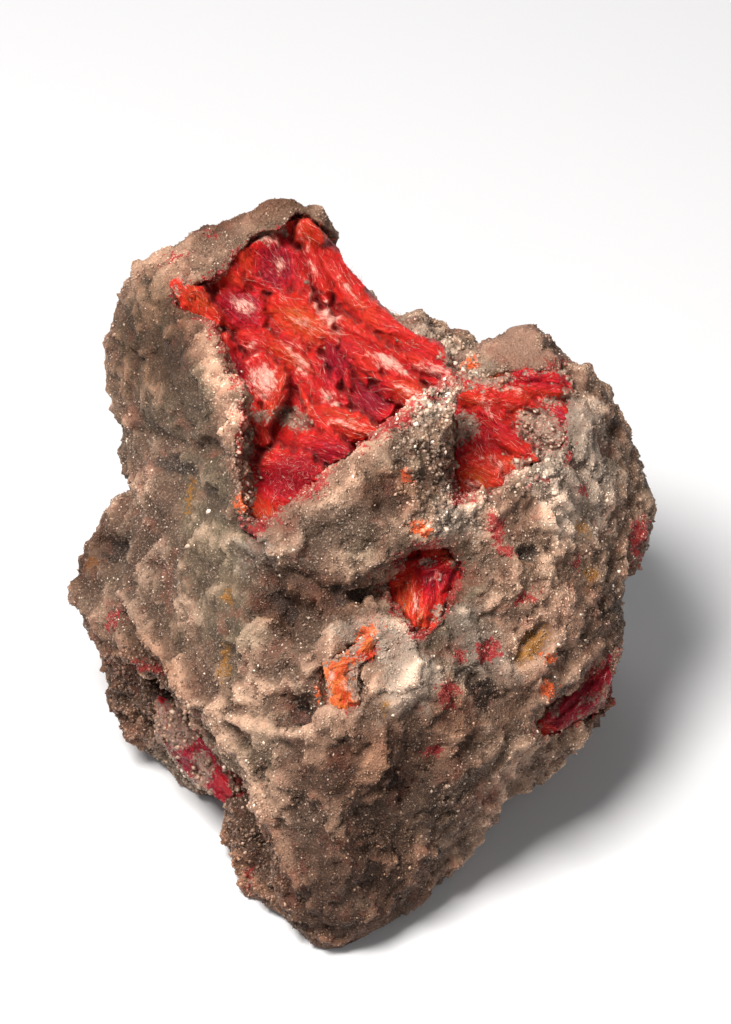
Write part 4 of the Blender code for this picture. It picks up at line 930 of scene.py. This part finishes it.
def grow_crust(name, form):
    """One crust as a sheet: its points' places, heights and tints on a grid, before it becomes a mesh."""
    outline = np.array(HOLLOWS[name])
    low, high = outline.min(axis=0), outline.max(axis=0)
    columns, rows = np.ceil((high - low) / CRUST_GRID).astype(int)
    x = np.tile(np.linspace(low[0], high[0], columns + 1), rows + 1)
    v = np.repeat(np.linspace(low[1], high[1], rows + 1), columns + 1)
    heading = math.radians(form["heading"])
    weights = [1 / ((x - gx) ** 2 + (v - gv) ** 2 + 0.5) ** 1.5 for gx, gv, _ in form["ground"]]
    sheet = {"x": x, "v": v, "size": (rows + 1, columns + 1), "low": low, "high": high,
             "w": sum(weight * gw for weight, (_, _, gw) in zip(weights, form["ground"])) / sum(weights),
             "heading": np.full(len(x), heading), "leaf": np.zeros(len(x)),
             "along": x * math.cos(heading) + v * math.sin(heading),
             "across": v * math.cos(heading) - x * math.sin(heading)}
    sheet["depth"] = depth_inside(x, v, HOLLOWS[name])
    for number, (start, end, width, crest) in enumerate(form["leaves"], 1):
        lay_leaf(sheet, start, end, width, crest, rng.uniform(-0.55, 0.55), number)

    # Small flakes, each laid much as the leaf under it runs, where the crust isn't too steep.
    inside = np.flatnonzero(sheet["depth"] > 0.2)
    for number in range(len(form["leaves"]) + 1, len(form["leaves"]) + 1 + form["flakes"]):
        middle = rng.choice(inside)
        turn = sheet["heading"][middle] + rng.normal() * 0.28
        length = FLAKE_LONG[0] + (FLAKE_LONG[1] - FLAKE_LONG[0]) * rng.random() ** 1.5
        reach = np.array((math.cos(turn), math.sin(turn))) * length / 2
        ends = []
        for way, lift in ((-1, -0.08), (1, rng.uniform(0.0, 0.22))):
            end_x, end_v = x[middle] + way * reach[0], v[middle] + way * reach[1]
            ends.append((end_x, end_v, height_at(sheet, end_x, end_v) + lift))
        if abs(ends[0][2] - ends[1][2]) < 1.3 * length:
            lay_leaf(sheet, *ends, length * rng.uniform(0.2, 0.42), rng.uniform(0.06, 0.26),
                     rng.uniform(-0.7, 0.7), number)

    # Deep gaps between leaves fill up a little, slits are pressed in, and fibres stand out.
    sheet["w"] = np.maximum(sheet["w"], soften(sheet["w"].reshape(sheet["size"]), 25).ravel() - 0.45)
    for path, half_width, drop in form["slits"]:
        sheet["w"] -= 0.6 * drop * np.exp(-((along_path(x, v, path) / half_width) ** 2))
    sheet["w"] = soften(sheet["w"].reshape(sheet["size"]), 3).ravel()
    for length, width, height in STRANDS:
        sheet["w"] += height * noise_at(sheet["along"] / length, sheet["across"] / width, sheet["leaf"])

    # Druses and the border are lumpy bare quartz, but not where the crust makes the rock's edge.
    lumps = lumps_at(np.stack([x, v, sheet["w"]], axis=1) / 0.7, 3)
    bare = ovals_share(sheet, form["druse"])
    on_edge = along_path(x, v, [(-6.4, 73.2), (-3.8, 71.4), SADDLE_START, SADDLE_END]) < 1.8
    torn = noise_at(x / 2.2, v / 2.2, v * 0)
    border = np.clip(0.72 - (sheet["depth"] + lumps + 1.8 * torn) / 2.0, 0, 0.85)
    bare = np.maximum(bare, np.where(on_edge, 0, border))
    sheet["w"] += (0.10 + 0.28 * bare) * lumps

    # What lies high gets a painted highlight, paler and more orange, and what lies low painted shade, darker;
    # a crust's shade paints it darker all over; and each leaf has a tint of its own.
    mean = soften(sheet["w"].reshape(sheet["size"]), 60).ravel()
    sheet["relief"] = np.clip(0.5 + (sheet["w"] - mean) * 0.75, 0, 1) * (1 - form.get("shade", 0))
    leaf_tint = rng.normal(size=len(form["leaves"]) + form["flakes"] + 1)
    own_tint = leaf_tint[sheet["leaf"].astype(int)]
    orange, crimson, pale_and_sheen = (ovals_share(sheet, form[tint]) for tint in ("orange", "crimson", "pale_and_sheen"))
    sheet["tone"] = (0.40 + form.get("warmth", 0) + 0.28 * orange - 0.36 * crimson
                     + 0.05 * own_tint + 0.16 * (sheet["relief"] - 0.5))
    sheet["pale_and_sheen"] = 0.05 + pale_and_sheen + 0.05 * own_tint + 0.7 * (sheet["relief"] - 0.5)
    sheet["bare"] = bare
    return sheet


def height_at(sheet, x, v):
    """Height of a crust at a place, mm."""
    rows, columns = sheet["size"]
    across = (x - sheet["low"][0]) / (sheet["high"][0] - sheet["low"][0]) * (columns - 1)
    up = (v - sheet["low"][1]) / (sheet["high"][1] - sheet["low"][1]) * (rows - 1)
    column = np.clip(np.rint(across).astype(int), 0, columns - 1)
    row = np.clip(np.rint(up).astype(int), 0, rows - 1)
    return sheet["w"].reshape(rows, columns)[row, column]


def height_of_rock(x, v):
    """Height of the rock's skin at each place of its showy face, mm; where there is none, far back."""
    near, far = (on_rock(x, v, np.full(len(x), w)) for w in (40.0, -40.0))
    heights = np.full(len(x), NO_ROCK)
    for number, (start, end) in enumerate(zip(near, far)):
        hit, place, _, _ = skin.ray_cast(Vector(start), Vector(end - start).normalized())
        if hit:
            heights[number] = (np.array(place) / MM - TIP) @ OUT
    return heights


def crust_piece(name, sheet, under_edge):
    """The mesh of a crust: the grid inside its outline, with its border taken back into the rock and closed.
    Where it makes the rock's edge, the border goes on under that edge by a length in mm."""
    rows, columns = sheet["size"]
    bpy.ops.object.select_all(action="DESELECT")
    bpy.ops.mesh.primitive_grid_add(x_subdivisions=columns - 1, y_subdivisions=rows - 1, size=1.0)
    piece = bpy.context.active_object
    piece.name = name
    rock = height_of_rock(sheet["x"], sheet["v"])
    outside = sheet["depth"] < 0.1
    under = outside & (rock > NO_ROCK)
    w = sheet["w"].copy()
    w[under] = np.maximum(np.minimum(w[under], rock[under] - TUCKED[0]), w[under] - TUCKED[1])
    move_points(piece, on_rock(sheet["x"], sheet["v"], w))
    for layer in ("tone", "pale_and_sheen", "relief", "bare"):
        paint(piece, layer, sheet[layer])
    corners = np.empty(len(piece.data.loops), np.int32)
    piece.data.loops.foreach_get("vertex_index", corners)
    fibre = piece.data.uv_layers.new(name="fibre")
    fibre.data.foreach_set("uv", np.stack([sheet["along"], sheet["across"]], axis=1)[corners]
                           .astype(np.float32).ravel())
    only(piece)
    bpy.ops.object.mode_set(mode="EDIT")
    bpy.ops.mesh.select_mode(type="VERT")
    bpy.ops.mesh.select_all(action="DESELECT")
    bpy.ops.object.mode_set(mode="OBJECT")
    piece.data.vertices.foreach_set("select", sheet["depth"] < -0.02)
    bpy.ops.object.mode_set(mode="EDIT")
    bpy.ops.mesh.delete(type="VERT")
    bpy.ops.mesh.select_mode(type="EDGE")
    bpy.ops.mesh.select_all(action="DESELECT")
    bpy.ops.mesh.select_non_manifold(extend=False)
    bpy.ops.mesh.extrude_region_move(TRANSFORM_OT_translate={"value": tuple(-OUT * CRUST_BACK * MM)})
    if under_edge:
        bpy.ops.mesh.extrude_region_move(TRANSFORM_OT_translate={"value": tuple(-OUT * under_edge * MM)})
        middle = on_rock(*(np.array([sheet[axis].mean()]) for axis in "xvw"))[0]
        middle = middle - OUT * (CRUST_BACK + under_edge) * MM
        bpy.ops.transform.resize(value=(0.9, 0.9, 0.9), center_override=tuple(middle))
    bpy.ops.mesh.fill(use_beauty=False)
    bpy.ops.mesh.select_all(action="SELECT")
    bpy.ops.mesh.normals_make_consistent(inside=False)
    bpy.ops.object.mode_set(mode="OBJECT")
    return piece


# Colours of the cuprite, from crimson to orange, and of what shows on it: its pinkish white is partly pale
# fibres and partly a painted sheen, and the colours in its slits are painted shade.
CUPRITE_REDS = [(0.0, (0.22, 0.002, 0.016)), (0.25, (0.46, 0.005, 0.014)), (0.52, (0.50, 0.010, 0.005)),
                (0.78, (0.56, 0.035, 0.010)), (1.0, (0.62, 0.14, 0.028))]
PINKISH_WHITE_AND_SHEEN, PAINTED_SHADE_IN_SLITS, RED_PITS = (0.82, 0.44, 0.35), (0.10, 0.002, 0.004), (0.22, 0.004, 0.008)
BARE_QUARTZ, QUARTZ_PAINTED_SHADE_IN_SLITS = ((0.19, 0.095, 0.065), (0.45, 0.31, 0.235)), (0.055, 0.020, 0.018)
FIBRE_NOISES = [(0.5, 3.2, 3.0), (0.9, 11.0, 2.0)]       # of its streaks and of its hairs


def swayed(tree, value, wobble, amount):
    """A value that sways with a noise by an amount."""
    return maths(tree, "MULTIPLY_ADD", maths(tree, "SUBTRACT", wobble, 0.5), amount, value)


def fibre_noise(tree, fibre, along, across, detail):
    """Noise of 0 to 1 drawn out along a crust's fibres, with so many lumps per mm along and across them."""
    drawn_out = add(tree, "ShaderNodeVectorMath", {0: fibre, 1: (along, across, 1.0)}, operation="MULTIPLY")
    return add(tree, "ShaderNodeTexNoise", {"Vector": drawn_out.outputs[0], "Scale": 1.0,
                                            "Detail": detail}).outputs[0]


def cuprite_finish(name):
    """Silky felted cuprite: streaked along its fibres, paler on its crests by a painted highlight, and dark
    in its slits by painted shade.
    """
    made, tree, shader = new_finish(name)
    where = add(tree, "ShaderNodeTexCoord").outputs["Object"]
    fibre = add(tree, "ShaderNodeUVMap", uv_map="fibre").outputs[0]
    mask = kept_values(tree, ("tone", "pale_and_sheen", "relief", "bare"))
    streak, hair = (fibre_noise(tree, fibre, *each) for each in FIBRE_NOISES)
    grain = speckle(tree, where, 0.35, 3.0, 0.65)
    wander = swayed(tree, swayed(tree, mask["tone"], streak, 1.1), hair, 0.5)
    ramp = add(tree, "ShaderNodeValToRGB", {0: wander})
    for position, _ in CUPRITE_REDS[1:-1]:
        ramp.color_ramp.elements.new(position)
    for element, (position, tint) in zip(ramp.color_ramp.elements, CUPRITE_REDS):
        element.position, element.color = position, colour(*tint)
    base = ramp.outputs[0]
    # A pinkish white veil: partly pale fibres, partly a painted sheen on the crests.
    pale_and_sheen_veil = swayed(tree, swayed(tree, mask["pale_and_sheen"], hair, 0.9), streak, 0.8)
    pale_and_sheen_veil = swayed(tree, pale_and_sheen_veil, speckle(tree, where, 0.9, 4.0, 0.6), 1.5)
    base = coated(tree, base, stretched(tree, pale_and_sheen_veil, 0.55, 3.0), 0.85, PINKISH_WHITE_AND_SHEEN)
    # Painted shade where the crust lies low, in its slits.
    depth = maths(tree, "MULTIPLY_ADD", mask["relief"], -2.6, 0.85, clamp=True)
    base = coated(tree, base, depth, 0.7, PAINTED_SHADE_IN_SLITS)
    base = coated(tree, base, stretched(tree, grain, 0.62, 8.0), 0.5, RED_PITS)
    quartz = blend_in(tree, grain, *(colour(*tint) for tint in BARE_QUARTZ))
    # Bare quartz gets the same painted shade where it lies low.
    quartz = coated(tree, quartz, depth, 0.8, QUARTZ_PAINTED_SHADE_IN_SLITS)
    base = blend_in(tree, ragged(tree, mask["bare"], grain, 6.0), base, quartz)
    tree.links.new(base, shader.inputs["Base Color"])
    tree.links.new(maths(tree, "MULTIPLY_ADD", hair, 0.35, 0.28), shader.inputs["Roughness"])
    shader.inputs["Specular IOR Level"].default_value = 0.3
    shader.inputs["Sheen Weight"].default_value = 0.08
    shader.inputs["Sheen Roughness"].default_value = 0.35
    shader.inputs["Sheen Tint"].default_value = colour(1.0, 0.72, 0.62)
    shader.inputs["Subsurface Weight"].default_value = 0.15
    shader.inputs["Subsurface Radius"].default_value = (1.0, 0.25, 0.15)
    shader.inputs["Subsurface Scale"].default_value = 0.25 * MM
    felt = maths(tree, "MULTIPLY_ADD", streak, 0.8, maths(tree, "MULTIPLY_ADD", grain, 0.5, hair))
    bump = add(tree, "ShaderNodeBump", {"Strength": 0.9, "Distance": 0.09 * MM, "Height": felt})
    tree.links.new(bump.outputs[0], shader.inputs["Normal"])
    return made


silk = cuprite_finish("cuprite_silk")
sheets = {}
for name, form in CRUSTS.items():
    sheets[name] = grow_crust(name, form)
    piece = crust_piece(name + "_crust", sheets[name], form.get("under", 0))
    piece.data.materials.append(silk)
    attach(piece, "root")
    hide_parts(name)
    bare = np.empty(len(piece.data.vertices))
    piece.data.attributes["bare"].data.foreach_get("value", bare)
    tints = ground_shares(points_of(piece), points_of(piece, "normal"))
    for layer in ("crimson", "green", "brown", "dark"):
        tints[layer][:] = 0
    # Grains on a crust get a set, middling amount of painted shade and painted highlight.
    tints["painted_hollow_shade"] = np.full(len(bare), 0.3)
    grains = int(2.4 * (sheets[name]["depth"] > 0).sum() ** 0.65)
    quartz_grains("sugar_on_" + name, piece, np.clip(bare * 1.6 - 0.55, 0, 1) + 0.006, tints, grain_shape,
                  grains, 0.08, 0.3)

# Loose hairs of the felt: fine single crystals that lie on the leaves, curl a little, and here and there
# stand off them. They are a few hundredths of a millimetre thick, and grow the same way as their leaf.
HAIR_RINGS = (0.5, 1.0, 0.75)        # thickness of a hair where its rings are; its tip is a point
HAIR_CORNERS = [(math.cos(turn), math.sin(turn)) for turn in (0.5, 2.6, 4.7)]
HAIR_POINTS = len(HAIR_RINGS) * len(HAIR_CORNERS) + 1
HAIR_THICK = (0.011, 0.025)          # from its middle to its corners, mm
VELVET = (-7.2, 47.6, 3.4, 2.2, 15)  # the shaggy patch of the main hollow, as an oval


def felt_hairs(name, sheet, count, longest, stray, only_in=None):
    """A piece of hairs that lie on one crust; stray is how far they turn away from their leaf's way."""
    chance = np.where(sheet["depth"] > 0.15, 1.0 - 0.8 * sheet["bare"], 0.0)
    if only_in:
        chance = chance * np.clip(in_ovals(sheet["x"], sheet["v"], [only_in], False), 0, 1)
    root = rng.choice(len(chance), count, p=chance / chance.sum())
    way = sheet["heading"][root] + rng.normal(size=count) * stray + rng.choice((0, math.pi), count)
    curl = rng.normal(size=count) * 0.35
    length = longest * (0.25 + 0.75 * rng.random(count) ** 1.6)
    lift = 0.03 + 0.16 * rng.random(count) ** 3
    thick = HAIR_THICK[0] + (HAIR_THICK[1] - HAIR_THICK[0]) * rng.random(count)
    x, v = sheet["x"][root], sheet["v"][root]
    path = []
    for step, rise in enumerate((-0.2, 0.7, 1.0, 0.9)):
        path.append(on_rock(x, v, height_at(sheet, x, v) + lift * rise + 0.02))
        x = x + np.cos(way + curl * step) * length / 3
        v = v + np.sin(way + curl * step) * length / 3
    path = np.stack(path, axis=1)
    run = path[:, 3] - path[:, 0]
    run /= np.linalg.norm(run, axis=1)[:, None]
    aside = np.cross(run, OUT)
    aside /= np.linalg.norm(aside, axis=1)[:, None]
    above = np.cross(aside, run)
    rings = []
    for step, share in enumerate(HAIR_RINGS):
        for cosine, sine in HAIR_CORNERS:
            rings.append(path[:, step] + (aside * cosine + above * sine) * (thick * share * MM)[:, None])
    points = np.stack([*rings, path[:, 3]], axis=1)
    faces = [(0, 2, 1)]
    for low in (0, 3):
        for corner in range(3):
            after = (corner + 1) % 3
            faces += [(low + corner, low + after, low + 3 + after),
                      (low + corner, low + 3 + after, low + 3 + corner)]
    faces += [(6, 7, 9), (7, 8, 9), (8, 6, 9)]
    together = np.array(faces)[None] + (np.arange(count) * HAIR_POINTS)[:, None, None]
    piece = joined_mesh(name, points.reshape(-1, 3), together.reshape(-1, 3))
    tint = rng.random(count)
    for layer, values in {
            "tone": sheet["tone"][root] + 0.05 + 0.2 * tint,
            "pale_and_sheen": np.clip(sheet["pale_and_sheen"][root], 0, 1) * 0.8 + 0.7 * (tint > 0.91),
            "relief": np.full(count, 0.6),
            "bare": np.zeros(count)}.items():
        paint(piece, layer, np.repeat(values, HAIR_POINTS))
    piece.data.materials.append(silk)
    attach(piece, "root")


for name, hollow, count, longest, stray, only_in in [
        ("hairs_main_hollow", "cuprite_main_hollow", 7600, 2.6, 0.35, None),
        ("hairs_velvet", "cuprite_main_hollow", 1500, 1.2, 3.0, VELVET),
        ("hairs_right_hollow", "cuprite_right_hollow", 2000, 1.8, 0.5, None),
        ("hairs_lower_pocket", "cuprite_lower_pocket", 700, 1.4, 0.5, None),
        ("hairs_orange_patch", "cuprite_orange_patch", 300, 1.1, 0.5, None),
        ("hairs_crimson_seam", "cuprite_crimson_seam", 700, 1.4, 0.4, None),
        ("hairs_left_crevice", "cuprite_left_crevice", 300, 1.2, 0.4, None)]:
    felt_hairs(name, sheets[hollow], count, longest, stray, only_in)

# The studio: a plain pale floor, a small soft light from above the rock, and three weak ones that fill its
# shade. The floor is matt, and reaches past every view.
bpy.ops.mesh.primitive_plane_add(size=3.0)
floor = bpy.context.active_object
floor.name = "floor"
floor_finish, _, floor_shader = new_finish("pale_floor")
floor_shader.inputs["Base Color"].default_value = colour(0.62, 0.62, 0.63)
floor_shader.inputs["Roughness"].default_value = 0.9
floor.data.materials.append(floor_finish)


def soft_light(name, towards, distance, size, power, tint=(1.0, 1.0, 1.0)):
    """A square studio light that looks at the rock's middle."""
    lamp = bpy.data.lights.new(name, "AREA")
    lamp.size = size
    lamp.energy = power
    lamp.color = tint
    light = placed(name, lamp)
    direction = Vector(towards).normalized()
    light.location = Vector((0, 0, 0.025)) + direction * distance
    light.rotation_mode = "QUATERNION"
    light.rotation_quaternion = direction.to_track_quat("Z", "Y")


soft_light("key", (-0.32, -0.30, 0.95), 0.45, 0.18, 3.9, (1.0, 0.98, 0.95))
soft_light("face_fill", (0.35, -1.0, 0.75), 0.70, 0.45, 1.05)
soft_light("back_fill", (-0.4, 1.0, 0.5), 0.80, 0.5, 1.6)
soft_light("left_fill", (-1.0, -0.2, 0.35), 0.70, 0.4, 0.9, (0.93, 0.96, 1.0))

world = bpy.data.worlds.new("studio")
bpy.context.scene.world = world
world.use_nodes = True
world.node_tree.nodes["Background"].inputs["Color"].default_value = colour(0.80, 0.82, 0.86)
world.node_tree.nodes["Background"].inputs["Strength"].default_value = 0.15
bpy.context.scene.view_settings.view_transform = "Standard"

# The camera looks at the showy face squarely, from as far as the face's frame was read.
camera_data = bpy.data.cameras.new("camera")
camera_data.lens = 200.0
camera_data.sensor_width = 36.0
camera_data.clip_start = 0.01
camera = placed("camera", camera_data)
camera.rotation_mode = "QUATERNION"
camera.location = Vector((TIP + UP_FACE * EYE_LEVEL + OUT * EYE) * MM)
camera.rotation_quaternion = Vector(OUT).to_track_quat("Z", "Y")
bpy.context.scene.camera = camera
